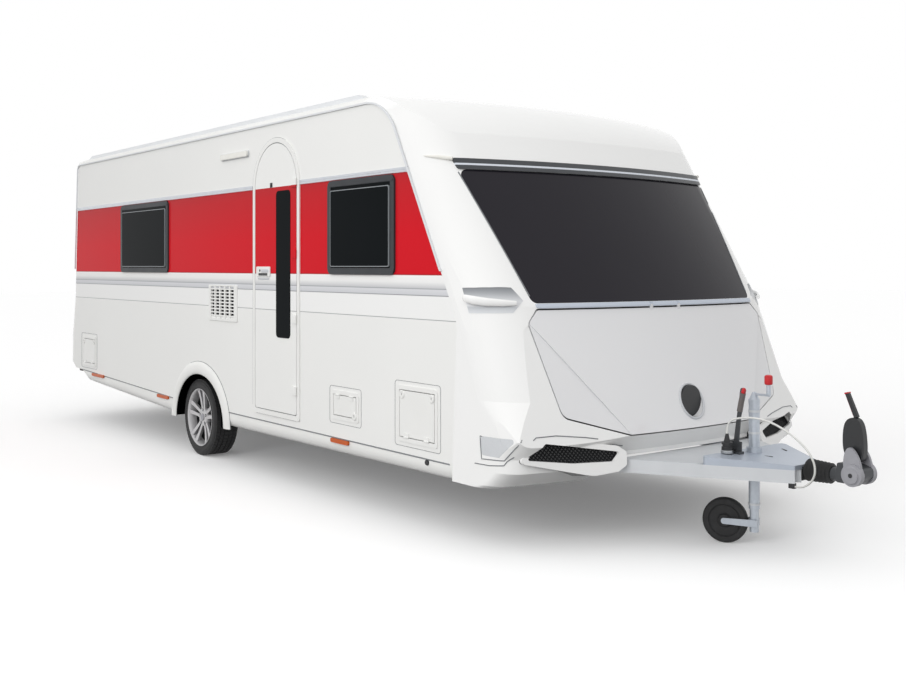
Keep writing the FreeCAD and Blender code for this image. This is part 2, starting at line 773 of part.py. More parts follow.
def drawbar_notch():
    # The space that the rails pass through, under the front panel
    x0, x1 = drawbar_root[0] - 60, drawbar_tip[0]
    y0, y1 = drawbar_outer_y(x0) + notch_gap, drawbar_outer_y(x1) + notch_gap
    return plan_prism([(x0, -y0), (x1, -y1), (x1, y1), (x0, y0)], bumper_bottom[1] - 100,
                      drawbar_top_z + deck_thick + notch_gap)


def drawbar_deck():
    x0, x1 = deck_x
    return plan_prism([(x0, -drawbar_outer_y(x0) + 4), (x1, -drawbar_outer_y(x1) + 4),
                       (x1, drawbar_outer_y(x1) - 4), (x0, drawbar_outer_y(x0) - 4)],
                      drawbar_top_z, drawbar_top_z + deck_thick)


def cover_body(inset, foot):
    x0, x1 = cover_x
    low = [(x0 + inset, -drawbar_outer_y(x0) + inset, 24), (x1 - inset, -drawbar_outer_y(x1) + inset, 14),
           (x1 - inset, drawbar_outer_y(x1) - inset, 14), (x0 + inset, drawbar_outer_y(x0) - inset, 24)]
    slab = plan_prism(low, foot, drawbar_top_z + cover_rise[0] + 40)
    top = side_prism([(x0 - 50, foot - 5), (x1 + 50, foot - 5),
                      (x1 + 50, drawbar_top_z + cover_rise[1] - inset),
                      (x0 - 50, drawbar_top_z + cover_rise[0] - inset)], -600, 600)
    return slab.common(top)


def drawbar_cover():
    # A pressed wedge over the two rails' front ends, hollow below
    z = drawbar_top_z
    cover = cover_body(0.0, z).cut(cover_body(cover_wall, z - 1))
    hole = rod(V(jockey_x, 0, z - 5), V(jockey_x, 0, z + 90), jockey_outer_r + 13)
    return main_solid(cover.cut([hole, overrun_housing(0.3)]))


def cover_z(x):
    share = (x - cover_x[0]) / (cover_x[1] - cover_x[0])
    return drawbar_top_z + cover_rise[0] + share * (cover_rise[1] - cover_rise[0])


def side_window(x, side):
    z = window_z
    y = side * half_width
    hole = window_hole(x, z, -seat_gap)
    opening = rectangle(x, z, window_frame_r, -window_frame_width)
    flange = side_prism(rectangle(x, z, window_frame_r), y, y + side * window_frame_out)
    sleeve = side_prism(hole, y + side, y - side * wall)
    frame = flange.fuse(sleeve).cut(side_prism(opening, y + side * 30, y - side * 60))
    pane_y = y + side * (window_frame_out - 4)
    pane = rectangle(x, z, window_frame_r, -window_frame_width - seat_gap)
    pane = side_prism(pane, pane_y, pane_y - side * pane_thick)
    return main_solid(frame.removeSplitter()), pane


def rear_window(outer, inner):
    y, z = rear_window_y, rear_window_z
    x0, x1 = tail_x - 60, tail_x + 400
    opening = rectangle(y, z, window_frame_r, -window_frame_width)
    frame = moved(outer, -window_frame_out).common(front_prism(rectangle(y, z, window_frame_r, -0.3), x0, x1))
    frame = frame.cut([inner, front_prism(opening, x0 - 10, x1 + 10)])
    pane = moved(outer, 4 - window_frame_out).common(
        front_prism(rectangle(y, z, window_frame_r, -window_frame_width - 0.3), x0, x1))
    pane = pane.cut(moved(outer, 4 - window_frame_out + pane_thick))
    return main_solid(frame), main_solid(pane)


def awning_rail(side):
    y = side * (half_width + 0.3)

    def band(out):
        foot = 1500.0
        return [(wall_rear_top_x - (wall_top_z - foot) * rear_edge_slope - out, foot),
                (wall_front_top_x + (wall_top_z - foot) * front_edge_slope + out * 1.13, foot),
                (wall_front_top_x + out * 0.6, wall_top_z + out, wall_front_r + out),
                (wall_rear_top_x - out, wall_top_z + out, 60 + out)]

    rail = side_prism(band(6), y, y + side * 11).cut(side_prism(band(-6), y - side, y + side * 12))
    wide = half_width + 50
    return main_solid(rail.common(block(-3200, 3500, -wide, wide, 1520, roof_z + 75)))


def roof_rail(side):
    y0, y1 = sorted((side * (half_width - 66), side * (half_width - 112)))
    z = roof_z
    profile = [(tail_x + 500, z), (2480, z), (2380, z + 36, 60), (tail_x + 600, z + 36, 60)]
    return side_prism(profile, y0, y1)


def roof_hatch(x, y, length, width):
    z = roof_z
    frame = block(x - length / 2, x + length / 2, y - width / 2, y + width / 2, z - wall - 20, z + 26)
    frame = frame.cut(block(x - length / 2 + 40, x + length / 2 - 40, y - width / 2 + 40, y + width / 2 - 40,
                            z - 100, z + 40))
    edges = (x - length / 2, x + length / 2), (y - width / 2, y + width / 2)
    dome = plan_prism(rectangle(*edges, 32, 18), z + 26, z + 33)
    return frame.fuse(dome).removeSplitter()


def hatch_axis(z, at_top):
    inner = hatch_rim + hatch_gap / 2
    return (-half_width - hatch_out - hatch_hinge_r - seat_gap, z[1] - inner if at_top else z[0] + inner)


def hatch_door(x, z, at_top):
    y = -half_width - hatch_out
    slab = side_prism(rectangle(x, z, hatch_r, -hatch_rim - hatch_gap), y, -half_width + wall)
    hinge_y, hinge_z = hatch_axis(z, at_top)
    leaf_z = hinge_z + (-1 if at_top else 1) * 24
    for share in (0.25, 0.75):
        middle = x[0] + share * (x[1] - x[0])
        x0, x1 = middle - hatch_hinge_half, middle + hatch_hinge_half
        slab = slab.fuse(rod(V(x0, hinge_y, hinge_z), V(x1, hinge_y, hinge_z), hatch_hinge_r))
        slab = slab.fuse(block(x0, x1, hinge_y, y, min(hinge_z, leaf_z), max(hinge_z, leaf_z)))
    return main_solid(slab.removeSplitter())


def hatch_frame(x, z):
    y = -half_width
    flange = side_prism(rectangle(x, z, hatch_r), y - hatch_out, y)
    sleeve = side_prism(rectangle(x, z, hatch_r, -hatch_rim / 2 - 0.3), y - 1, y + wall)
    hole = side_prism(rectangle(x, z, hatch_r, -hatch_rim), y - 20, y + 60)
    return main_solid(flange.fuse(sleeve).cut(hole).removeSplitter())


def vent_grille():
    y = -half_width
    flange = side_prism(rectangle(vent_x, vent_z, 8), y - 8, y)
    sleeve = side_prism(rectangle(vent_x, vent_z, 8, -vent_rim - 0.3), y - 1, y + wall)
    frame = flange.fuse(sleeve).cut(side_prism(rectangle(vent_x, vent_z, 4, -vent_rim - 4), y - 20, y + 60))
    x0, x1 = vent_x[0] + vent_rim + 3, vent_x[1] - vent_rim - 3
    z0, z1 = vent_z[0] + vent_rim + 4, vent_z[1] - vent_rim - 4
    pitch = (z1 - z0) / vent_slats
    for i in range(vent_slats):
        z = z0 + pitch * i
        slat = outline([(y - 6, z + 2), (y - 6, z + 5), (y + 22, z + pitch - 2), (y + 22, z + pitch - 5)],
                       lambda a, b: V(x0 - 2, a, b)).extrude(V(x1 - x0 + 4, 0, 0))
        frame = frame.fuse(slat)
    return main_solid(frame.removeSplitter())


def door_frame():
    y = -half_width
    ring = side_prism(door_outline(door_trim_width), y, y - door_trim_out)
    ring = ring.cut(side_prism(door_outline(door_gap), y + 1, y - door_trim_out - 1))
    return main_solid(ring)


def door_panel():
    y = -half_width
    slab = side_prism(door_outline(0), y - door_trim_out, y + wall)
    hole = side_prism(rectangle(door_window_x, door_window_z, door_window_r), y - 40, y + wall + 10)
    lock = block(handle_x[0] + 18, handle_x[1] - 18, y - door_trim_out - 1, y - door_trim_out + 12,
                 handle_z[0] + 18, handle_z[1] - 18)
    slab = slab.cut([hole, lock])
    for z in hinge_z:
        knuckle = rod(V(hinge_x(), hinge_y(), z - 30), V(hinge_x(), hinge_y(), z + 30), hinge_r)
        leaf = block(door_x[1] - 55, hinge_x(), hinge_y() - 3, y - door_trim_out, z - 30, z + 30)
        slab = slab.fuse([knuckle, leaf])
    return main_solid(slab.removeSplitter())


def hinge_x():
    return door_x[1] + door_gap / 2


def hinge_y():
    return -half_width - hinge_out


def door_window():
    y = -half_width - door_trim_out
    return side_prism(rectangle(door_window_x, door_window_z, door_window_r, -0.3), y - 3, y + 22)


def door_handle():
    # A bezel round a hollow that the door's lock case fills, with a grip bar across it
    y = -half_width - door_trim_out
    bezel = side_prism(rectangle(handle_x, handle_z, 14), y, y - handle_out)
    bezel = bezel.cut(side_prism(rectangle(handle_x, handle_z, 10, -handle_rim), y + 1, y - 20))
    grip_z = (handle_z[0] + handle_z[1]) / 2
    grip = block(handle_x[0] + handle_rim - 1, handle_x[1] - handle_rim + 1, y - handle_out - 3, y - 3,
                 grip_z - 12, grip_z + 12)
    return main_solid(bezel.fuse(grip).removeSplitter())


def front_window(outer, inner_glass):
    pane = outer.cut(inner_glass)
    return main_solid(pane.common(front_prism(window_outline(7.5), window_cut_x, ahead_x)))


def window_rails(outer):
    top_band = [(-top_rail_half + 14, glass_top[1] + 9, 12), (top_rail_half - 14, glass_top[1] + 9, 12),
                (top_rail_half, top_rail_z, 12), (-top_rail_half, top_rail_z, 12)]
    sill_band = [(-lid_top_half - 4, window_foot[1] - 10, 8), (lid_top_half + 4, window_foot[1] - 10, 8),
                 (glass_foot[0] - 4, glass_foot[1] - 9, 8), (-glass_foot[0] + 4, glass_foot[1] - 9, 8)]
    rails = []
    for band in (top_band, sill_band):
        skin = outer.common(front_prism(band, window_cut_x, ahead_x))
        rails.append(main_solid(moved(skin, rail_out).cut(skin)))
    hinge_x = lid_hinge_x()
    half = lid_hinge_half + seat_gap
    notches = [block(hinge_x - lid_hinge_r - seat_gap, hinge_x + 40, side * lid_hinge_y - half,
                     side * lid_hinge_y + half, 1200, 1500) for side in (-1, 1)]
    rails[1] = main_solid(rails[1].cut(notches))
    return rails


def lid_hinge_x():
    return surface_x(lid_hinge_y, lid_hinge_z) + rail_out - lid_hinge_r + 1


def locker_lid(shell):
    # The lid, with the round latch's hole, and two hinge knuckles that sit in the sill rail
    lid = shell.common(front_prism(lid_outline(0), lid_cut_x, ahead_x))
    lid = main_solid(lid.common(block(lid_cut_x - 100, ahead_x, -half_width, half_width, 500, 1500)))
    lid = lid.cut(rod(V(lid_cut_x + 400, 0, latch_z), V(ahead_x, 0, latch_z), latch_r))
    hinge_x = lid_hinge_x()
    lid_top = window_foot[1] - lid_drop
    for side in (-1, 1):
        y0, y1 = side * lid_hinge_y - lid_hinge_half, side * lid_hinge_y + lid_hinge_half
        knuckle = rod(V(hinge_x, y0, lid_hinge_z), V(hinge_x, y1, lid_hinge_z), lid_hinge_r)
        back = surface_x(lid_hinge_y - lid_hinge_half, lid_top + lid_gap) + 1
        leaf = block(back, hinge_x + lid_hinge_r - 0.5, y0, y1, lid_top - 18, lid_hinge_z)
        lid = lid.fuse([knuckle, leaf])
    return main_solid(lid.removeSplitter())


def locker_bulkhead(inner):
    x, z = bulkhead_x, bulkhead_z
    t = bulkhead_thick
    foot = floor_z + floor_thick
    profile = [(x, foot), (x + t, foot), (x + t, z - t), (ahead_x, z - t), (ahead_x, z), (x, z)]
    plate = side_prism(profile, -half_width, half_width)
    return main_solid(plate.common(inner))


def grown(points, distance):
    # The same corners, moved away from the outline's middle
    middle = [sum(point[i] for point in points) / len(points) for i in (0, 1)]
    result = []
    for point in points:
        reach = math.hypot(point[0] - middle[0], point[1] - middle[1])
        scale = 1 + distance / reach
        a = middle[0] + (point[0] - middle[0]) * scale
        b = middle[1] + (point[1] - middle[1]) * scale
        result.append((a, b, point[2]))
    return result


def horn_face(points, back):
    end_x, end_y, end_z = horn_tip

    def on_face(a, b):
        return V(end_x + horn_turn * (-a - end_y) + horn_lean * (b - end_z) - back, a, b)

    return outline(points, on_face)


def insert_hole():
    face = horn_face(grown(grille_outline, insert_sleeve + seat_gap), insert_depth + seat_gap)
    return face.extrude(V(400, 0, 0))


def bumper_insert(outer):
    wires = [horn_face(horn_outline, 0).OuterWire,
             horn_face(grown(horn_outline, horn_flare), horn_depth).OuterWire]
    horn = main_solid(Part.makeLoft(wires, True, True).cut(outer))
    sleeve = horn_face(grown(grille_outline, insert_sleeve), insert_depth).extrude(V(insert_depth - 8, 0, 0))
    pocket = horn_face(grille_outline, grille_depth).extrude(V(200, 0, 0))
    return main_solid(horn.fuse(sleeve).cut([pocket, drawbar_notch()]).removeSplitter())


# End lamps: clear ones round the front corners, small ones beside the top rail, and the rear clusters
def corner_lamp_cut(grow=0.0):
    return side_prism(grown(corner_lamp, grow), -half_width - 20, -half_width + corner_lamp_reach)


def end_lamps(outer, lens_inner):
    lens = main_solid(outer.common(corner_lamp_cut()).cut(lens_inner))
    start, end = V(*fin_lamp[0]), V(*fin_lamp[1])
    balls = [Part.makeSphere(fin_lamp_r, start), Part.makeSphere(fin_lamp_r, end)]
    fin = rod(start, end, fin_lamp_r).fuse(balls)
    fin = main_solid(fin.cut(outer))
    cluster = rectangle((-rear_lamp_y[1], -rear_lamp_y[0]), rear_lamp_z, 30)
    tail = moved(outer, -rear_lamp_out).common(front_prism(cluster, tail_x - 60, tail_x + 300))
    tail = main_solid(tail.cut(outer))
    right = [lens, fin, tail]
    return right + [mirrored(lamp) for lamp in right]


def side_lamp(x0, x1, z, side):
    y = side * half_width
    return side_prism(rectangle((x0, x1), (z - 14, z + 14), 13), y, y + side * 14)


def grab_handle(outer):
    # A bar round the right front corner, its ends seated on the panel
    path = [V(x, y, grab_z) for x, y in grab_path]
    bar = rod(path[0], path[1], grab_r)
    for start, end in zip(path[1:], path[2:]):
        bar = bar.fuse([rod(start, end, grab_r), Part.makeSphere(grab_r, start)])
    return main_solid(bar.cut(outer))


def overrun_tube():
    return rod(V(housing_x[1], 0, tube_z), V(pad_x - 40, 0, tube_z), tube_r)


def gaiter():
    x0, x1 = gaiter_x
    folds = 7
    pitch = (x1 - x0) / folds
    points = [(x0, tube_r + 0.3)]
    for i in range(folds):
        shrink = 1.0 - 0.12 * i / folds
        points.append((x0 + pitch * (i + 0.1), gaiter_r * shrink * 0.78))
        points.append((x0 + pitch * (i + 0.5), gaiter_r * shrink))
    points.append((x1, gaiter_r * 0.68))
    points.append((x1, tube_r + 0.3))
    face = outline(points, lambda a, b: V(a, 0, b))
    bellows = face.revolve(V(0, 0, 0), V(1, 0, 0), 360)
    bellows.translate(V(0, 0, tube_z))
    return bellows


def coupling_head():
    z = coupling_z
    tail_block = rod(V(gaiter_x[1] + 1, 0, tube_z), V(pad_x - 30, 0, tube_z), 36)
    top = z + coupling_top
    shell = side_prism([(pad_x - 93, z - 52, 16), (tip_x - 34, z - 52, 40), (tip_x - 2, z - 10, 30),
                        (tip_x, z + 32, 24), (tip_x - 64, top, 12), (pad_x - 81, top, 12)], -40, 40)
    cup = rod(V(pad_x + 10, 0, z - 60), V(pad_x + 10, 0, z + 5), 25.4)
    head = tail_block.fuse(shell).cut(cup)
    bore = rod(V(drawbar_tip[0], 0, tube_z), V(pad_x - 39.7, 0, tube_z), tube_r)
    return main_solid(head.cut(bore).removeSplitter())


def stabiliser_pads():
    pads = []
    for side in (-1, 1):
        pad = rod(V(pad_x + 20, side * 40.3, coupling_z), V(pad_x + 20, side * 72, coupling_z), pad_r)
        cap = rod(V(pad_x + 20, side * 71, coupling_z), V(pad_x + 20, side * 80, coupling_z), pad_r - 16)
        pads.append(pad.fuse(cap))
    return pads


def coupling_handle():
    # The lever's forked foot stands on the coupling's back, its grip leans over it
    x, z = pad_x, coupling_z
    foot = z + coupling_top
    return side_prism([(x - 65, foot, 6), (x + 1, foot, 6), (x + 49, z + 78, 20), (x + 63, z + 130, 30),
                       (x + 17, z + 330, 30), (x - 27, z + 413, 14), (x - 57, z + 403, 14),
                       (x - 43, z + 300, 40), (x - 17, z + 150, 40), (x - 63, z + 96, 20)], -17, 17)


def handbrake():
    # The lever turns between two ears on a foot plate, which lies on the cover
    x, y = handbrake_at
    foot = cover_z(x - 45) + 2
    base = block(x - 45, x + 45, y - 20, y + 20, cover_z(x + 45) - 1, foot + 5)
    base = main_solid(base.cut(cover_body(0.0, drawbar_top_z - 20)))
    base = base.fuse(block(x - 45, x + 45, y - 3, y + 3, foot, foot + 60))
    top = handbrake_top_z
    lever = side_prism([(x - 16, foot + 34, 8), (x + 14, foot + 30, 8), (x + 30, foot + 190, 8),
                        (x + 66, top, 12), (x + 34, top, 12), (x + 8, foot + 190, 8)], y + 3, y + 15)
    return main_solid(base.fuse(lever).removeSplitter())


def jockey_tube():
    tube = rod(V(jockey_x, 0, jockey_outer_foot_z), V(jockey_x, 0, jockey_top_z), jockey_outer_r)
    tube = tube.cut(rod(V(jockey_x, 0, jockey_outer_foot_z - 5), V(jockey_x, 0, jockey_top_z - 12),
                        jockey_inner_r + jockey_gap))
    return tube


def jockey_clamp():
    # A clamp round the outer tube, on a cross plate between the drawbar rails
    z = drawbar_top_z
    low, high = V(jockey_x, 0, z - drawbar_height), V(jockey_x, 0, cover_z(jockey_x) + 26)
    clamp = rod(low, high, jockey_outer_r + 12)
    reach = drawbar_outer_y(jockey_x + 35) - drawbar_width * 1.18 - 3
    yoke = block(jockey_x - 35, jockey_x + 35, -reach, reach, z - drawbar_height + 4, z - drawbar_height + 12)
    bore = rod(V(jockey_x, 0, z - 100), V(jockey_x, 0, z + 100), jockey_outer_r)
    return main_solid(clamp.fuse(yoke).cut(bore))


def jockey_crank():
    z = jockey_top_z
    stem = rod(V(jockey_x, 0, z + 0.3), V(jockey_x, 0, z + 34), 9)
    arm = block(jockey_x - 9, jockey_x + 105, -5, 5, z + 22, z + 34)
    knob = rod(V(jockey_x + 95, 0, z + 33), V(jockey_x + 95, 0, z + 120), 12)
    return stem.fuse([arm, knob])


def jockey_leg():
    return rod(V(jockey_x, 0, jockey_leg_foot_z), V(jockey_x, 0, jockey_top_z - 260), jockey_inner_r)


def jockey_fork():
    # A sleeve that turns on the leg's foot, with two straps out to the wheel's axle
    foot, top = jockey_sleeve_z
    half = jockey_wheel_width / 2 + jockey_strap_gap
    sleeve = rod(V(0, 0, foot), V(0, 0, top), jockey_inner_r)
    body = sleeve
    reach = jockey_trail - jockey_wheel_r - 6
    for side in (-1, 1):
        y0, y1 = sorted((side * half, side * (half + 4)))
        strap = outline([(-22, jockey_wheel_r - 18), (jockey_trail + 16, jockey_wheel_r - 16, 15),
                         (jockey_trail + 16, jockey_wheel_r + 16, 15), (-22, jockey_wheel_r + 22)],
                        lambda a, b: V(a, y0, b)).extrude(V(0, y1 - y0, 0))
        body = body.fuse(strap)
    bridge = block(-22, reach, -half, half, jockey_wheel_r - 18, jockey_wheel_r + 20)
    ends = [V(jockey_trail, side * (half + 8), jockey_wheel_r) for side in (-1, 1)]
    axle = rod(*ends, jockey_axle_r)
    body = main_solid(body.fuse([bridge, axle]).removeSplitter())
    body.rotate(V(0, 0, 0), V(0, 0, 1), jockey_heading)
    body.translate(V(jockey_x, 0, 0))
    return body


def jockey_wheel():
    half = jockey_wheel_width / 2
    r = jockey_wheel_r
    near = [(half, jockey_axle_r + 0.05), (half, 32, 4), (half - 14, 40, 6), (half - 14, 84, 6),
            (half - 3, 92, 6), (half - 3, r, 16)]
    points = [(-point[0], *point[1:]) for point in near] + near[::-1]
    disc = outline(points, lambda a, b: V(0, a, b)).revolve(V(0, 0, 0), V(0, 1, 0), 360)
    disc.translate(V(jockey_trail, 0, r))
    disc.rotate(V(0, 0, 0), V(0, 0, 1), jockey_heading)
    disc.translate(V(jockey_x, 0, 0))
    return disc


def steady_bracket(x, side):
    y = side * steady_y
    plates = block(x - 60, x + 60, y - 45, y + 45, floor_z - 6, floor_z)
    for offset in (-39, 33):
        plates = plates.fuse(block(x - 40, x + 40, y + offset, y + offset + 6, steady_z - 30, floor_z))
    pin = rod(V(x, y - 42, steady_z), V(x, y + 42, steady_z), steady_pin_r)
    return main_solid(plates.fuse(pin).removeSplitter())


def steady_arm(x, side, direction):
    y = side * steady_y
    end = x + direction * steady_length
    x0, x1 = sorted((x - direction * 26, end))
    arm = block(x0, x1, y - 26, y + 26, steady_z - 22, steady_z + 22)
    arm = arm.cut(block(x0 - 1, x1 + 1, y - 22, y + 22, steady_z - 18, steady_z + 30))
    foot = plan_prism(rectangle((end - 45, end + 45), (y - 60, y + 60), 15), steady_z - 30, steady_z - 22)
    bore = rod(V(x, y - 60, steady_z), V(x, y + 60, steady_z), steady_pin_r + steady_pin_gap)
    return main_solid(arm.fuse(foot).cut(bore).removeSplitter())


def rounded_path(points):
    # Straight runs joined by tangent arcs, each as large as its two runs allow
    points = [V(*point) for point in points]
    edges = []
    start = points[0]
    for before, here, after in zip(points, points[1:], points[2:]):
        back, ahead = before - here, after - here
        take = 0.45 * min(back.Length, ahead.Length)
        back, ahead = back.normalize(), ahead.normalize()
        half_turn = (math.pi - math.acos(max(-1.0, min(1.0, back.dot(ahead))))) / 2
        radius = take / math.tan(half_turn)
        bisector = (back + ahead).normalize()
        crown = here + bisector * (radius / math.cos(half_turn) - radius)
        enter, leave = here + back * take, here + ahead * take
        edges.append(Part.LineSegment(start, enter).toShape())
        edges.append(Part.Arc(enter, crown, leave).toShape())
        print("cable arc radius", round(radius, 1))
        start = leave
    edges.append(Part.LineSegment(start, points[-1]).toShape())
    return Part.Wire(edges)


def cable():
    path = rounded_path(cable_route)
    start, following = V(*cable_route[0]), V(*cable_route[1])
    section = Part.Wire(Part.Circle(start, following - start, cable_r).toShape())
    tube = path.makePipeShell([section], True, True)
    share = tube.Volume / (math.pi * cable_r ** 2 * path.Length)
    print("cable length", round(path.Length, 1), "volume share", round(share, 4))
    return tube


def plug_holder():
    x, y = cable_route[0][0], cable_route[0][1]
    foot = cover_z(x - 34)
    return rod(V(x, y, foot), V(x, y, foot + 34), 30)


def plug():
    x, y, top = cable_route[0]
    foot = cover_z(x - 34) + 34
    body = rod(V(x, y, foot), V(x, y, top - 48), 25)
    collar = rod(V(x, y, foot + 14), V(x, y, foot + 26), 30)
    neck = Part.makeCone(19, 8, 48, V(x, y, top - 48), V(0, 0, 1))
    return body.fuse([collar, neck])


def cable_gland():
    x, y, z = cable_route[-1]
    return block(x - 34, x, y - 11, y + 11, z - 11, drawbar_top_z - drawbar_height)


def overrun_housing(grow=0.0):
    # A cast body between the rails' front ends, with its flange round the tube
    x0, x1 = housing_x
    half = housing_half + grow
    z0, z1 = tube_z - housing_drop, drawbar_top_z + housing_rise + grow
    return side_prism([(x0, z0, 10), (x1, z0, 10), (x1, z1, 6), (x0, z1, 6)], -half, half)


def build():
    outer, inner, shell = build_shell()
    facets = facet_cut()
    inner_facets = moved(facets, -lean(wall))
    for cut, deep in ((facets, inner_facets), (mirrored(facets), mirrored(inner_facets))):
        outer = outer.cut(cut)
        inner = inner.cut(deep)
    outer, inner = main_solid(outer), main_solid(inner)
    shell = main_solid(outer.cut(inner))

    wall_right = side_wall(shell, -1, windows_right)
    wall_left = side_wall(shell, 1, windows_left)
    keep("side_wall_right", wall_right)
    keep("side_wall_left", wall_left)
    strips = [side_prism(wall_outline(), side * (half_width + 50), side * (half_width - wall))
              for side in (-1, 1)]
    rest = shell.cut(strips)
    high, wide = roof_z + 200, half_width + 50
    keep("roof_panel", roof_panel())
    rear = rest.common(block(tail_x - 10, rear_split_x, -wide, wide, tail_bottom[1], high))
    rear = rear.cut(block(wall_rear_foot_x, rear_split_x, -wide, wide, 0, wall_foot_rear_z))
    window_cut = rectangle(rear_window_y, rear_window_z, window_frame_r)
    window_cut = front_prism(window_cut, tail_x - 10, tail_x + 400)
    keep("rear_panel", main_solid(rear.cut(window_cut)))
    front = rest.common(block(front_split_x, 5000, -wide, wide, 0, high))
    front = front.cut(block(front_split_x, wall_front_foot_x, -wide, wide, 0, wall_foot_z))
    keep("front_panel", front_panel(front))
    keep("locker_lid", locker_lid(shell))
    x = front_x(latch_z)
    keep("lid_latch", rod(V(x - 60, 0, latch_z), V(x - 8, 0, latch_z), latch_r - 0.3))
    keep("floor_panel", floor_panel(inner))
    keep("locker_bulkhead", locker_bulkhead(inner))
    keep("skirts", Part.makeCompound([skirt(-1), skirt(1)]))
    keep("wheel_tubs", Part.makeCompound([wheel_tub(-1), wheel_tub(1)]))
    keep("side_rails", Part.makeCompound([awning_rail(-1), awning_rail(1), roof_rail(-1), roof_rail(1)]))
    keep("roof_hatches", Part.makeCompound([roof_hatch(*hatch) for hatch in roof_hatches]))

    glass_inner = body_form(glass_thick, bumper_bottom[1] - 10)
    keep("front_window", front_window(outer, glass_inner))
    keep("window_rails", Part.makeCompound(window_rails(outer)))
    frames, panes = [], []
    for side, group in ((-1, windows_right), (1, windows_left)):
        for x in group:
            frame, pane = side_window(x, side)
            frames.append(frame)
            panes.append(pane)
    frame, pane = rear_window(outer, inner)
    keep("window_frames", Part.makeCompound(frames + [frame]))
    keep("window_panes", Part.makeCompound(panes + [pane]))

    keep("door_frame", door_frame())
    keep("door_panel", door_panel())
    keep("door_window", door_window())
    keep("door_handle", door_handle())
    keep("hatch_frames", Part.makeCompound([hatch_frame(x, z) for x, z in hatches.values()]))
    for name, (x, z) in hatches.items():
        keep(name, hatch_door(x, z, name == "filler_flap"))
    keep("vent_grille", vent_grille())
    lamps = [side_lamp(x0, x1, z, side) for x0, x1, z in side_lamps for side in (-1, 1)]
    porch_x, porch_z = porch_lamp
    lamps.append(side_prism(rectangle(porch_x, porch_z, 16), -half_width, -half_width - 18))
    keep("side_lamps", Part.makeCompound(lamps))
    keep("grab_handles", both_sides(grab_handle(outer)))
    keep("bumper_inserts", both_sides(bumper_insert(outer)))
    keep("end_lamps", Part.makeCompound(end_lamps(outer, body_form(lamp_thick, bumper_bottom[1] - 20))))

    keep("chassis_rails", both_sides(chassis_rail(-1)))
    keep("drawbar_rails", both_sides(drawbar_rail(-1)))
    keep("drawbar_deck", drawbar_deck())
    keep("drawbar_cover", drawbar_cover())
    keep("axle_beam", axle_beam())
    keep("axle_arms", both_sides(axle_arm(-1)))
    for name, side in (("right", -1), ("left", 1)):
        keep("tyre_" + name, tyre(side))
        keep("wheel_" + name, wheel(side))

    keep("overrun_housing", main_solid(overrun_housing().fuse(overrun_tube()).removeSplitter()))
    keep("gaiter", gaiter())
    keep("coupling_head", coupling_head())
    keep("stabiliser_pads", Part.makeCompound(stabiliser_pads()))
    keep("coupling_handle", coupling_handle())
    keep("handbrake", handbrake())
    keep("jockey_tube", Part.makeCompound([jockey_tube(), jockey_crank()]))
    keep("jockey_clamp", jockey_clamp())
    keep("jockey_leg", jockey_leg())
    keep("jockey_fork", jockey_fork())
    keep("jockey_wheel", jockey_wheel())
    brackets = []
    for end, x in (("rear", steady_x[0]), ("front", steady_x[1])):
        direction = 1 if end == "rear" else -1
        for name, side in (("right", -1), ("left", 1)):
            keep("steady_" + end + "_" + name, steady_arm(x, side, direction))
            brackets.append(steady_bracket(x, side))
    keep("cross_members", Part.makeCompound([cross_member(x) for x in cross_x] + brackets))
    keep("cable", cable())
    keep("cable_holders", Part.makeCompound([plug_holder(), cable_gland()]))
    keep("plug", plug())


def export():
    os.makedirs("parts", exist_ok=True)
    for name, shape in parts.items():
        placed = moved(shape, -middle_x)
        state = "valid" if placed.isValid() else "INVALID"
        print(name, len(placed.Solids), "solids", len(placed.Faces), "faces", state,
              round(placed.Volume / 1e6, 2), "dm3")
        placed.exportStep("parts/" + name + ".step")


build()
export()
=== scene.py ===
import math
from collections import namedtuple

import bmesh
import bpy
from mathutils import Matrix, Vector
from mathutils.bvhtree import BVHTree


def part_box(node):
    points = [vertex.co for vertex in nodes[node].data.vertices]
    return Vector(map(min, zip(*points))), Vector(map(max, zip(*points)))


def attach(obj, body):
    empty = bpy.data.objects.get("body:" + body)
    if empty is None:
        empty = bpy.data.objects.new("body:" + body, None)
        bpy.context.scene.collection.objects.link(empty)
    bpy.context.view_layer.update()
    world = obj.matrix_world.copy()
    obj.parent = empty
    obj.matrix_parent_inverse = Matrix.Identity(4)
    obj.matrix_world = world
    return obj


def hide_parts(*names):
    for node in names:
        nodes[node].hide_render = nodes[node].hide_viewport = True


print("caravan: loading the frame")
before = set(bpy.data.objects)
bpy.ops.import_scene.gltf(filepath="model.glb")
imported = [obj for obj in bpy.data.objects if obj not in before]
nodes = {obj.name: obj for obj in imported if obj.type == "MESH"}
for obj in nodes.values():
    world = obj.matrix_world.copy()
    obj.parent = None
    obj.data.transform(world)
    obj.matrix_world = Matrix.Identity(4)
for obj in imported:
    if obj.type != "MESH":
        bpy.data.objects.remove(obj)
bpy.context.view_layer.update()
scene = bpy.context.scene

# Places below are metres, with x from the axle, y to the left and z up from the ground
tyreLow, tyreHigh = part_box("tyre_right")
axleX = (tyreLow.x + tyreHigh.x) / 2
wallY = 1.250  # outside face of the side walls
sides = (("right", -1), ("left", 1))


def place(x, y, z):
    return Vector((x + axleX, y, z))


def mix(start, end, t):
    # The point at the share t of the way from start to end
    return tuple(a + (b - a) * t for a, b in zip(start, end))


# Nodes and materials
Finish = namedtuple("Finish", "material tree surface coords shade")
shaderInputs = {"ior": "IOR", "specular": "Specular IOR Level", "metal": "Metallic", "coat": "Coat Weight",
                "coatRough": "Coat Roughness", "clear": "Transmission Weight"}


def toLinear(hexColour):
    channels = [int(hexColour[i:i + 2], 16) / 255 for i in (1, 3, 5)]
    return [c / 12.92 if c <= 0.04045 else ((c + 0.055) / 1.055) ** 2.4 for c in channels] + [1.0]


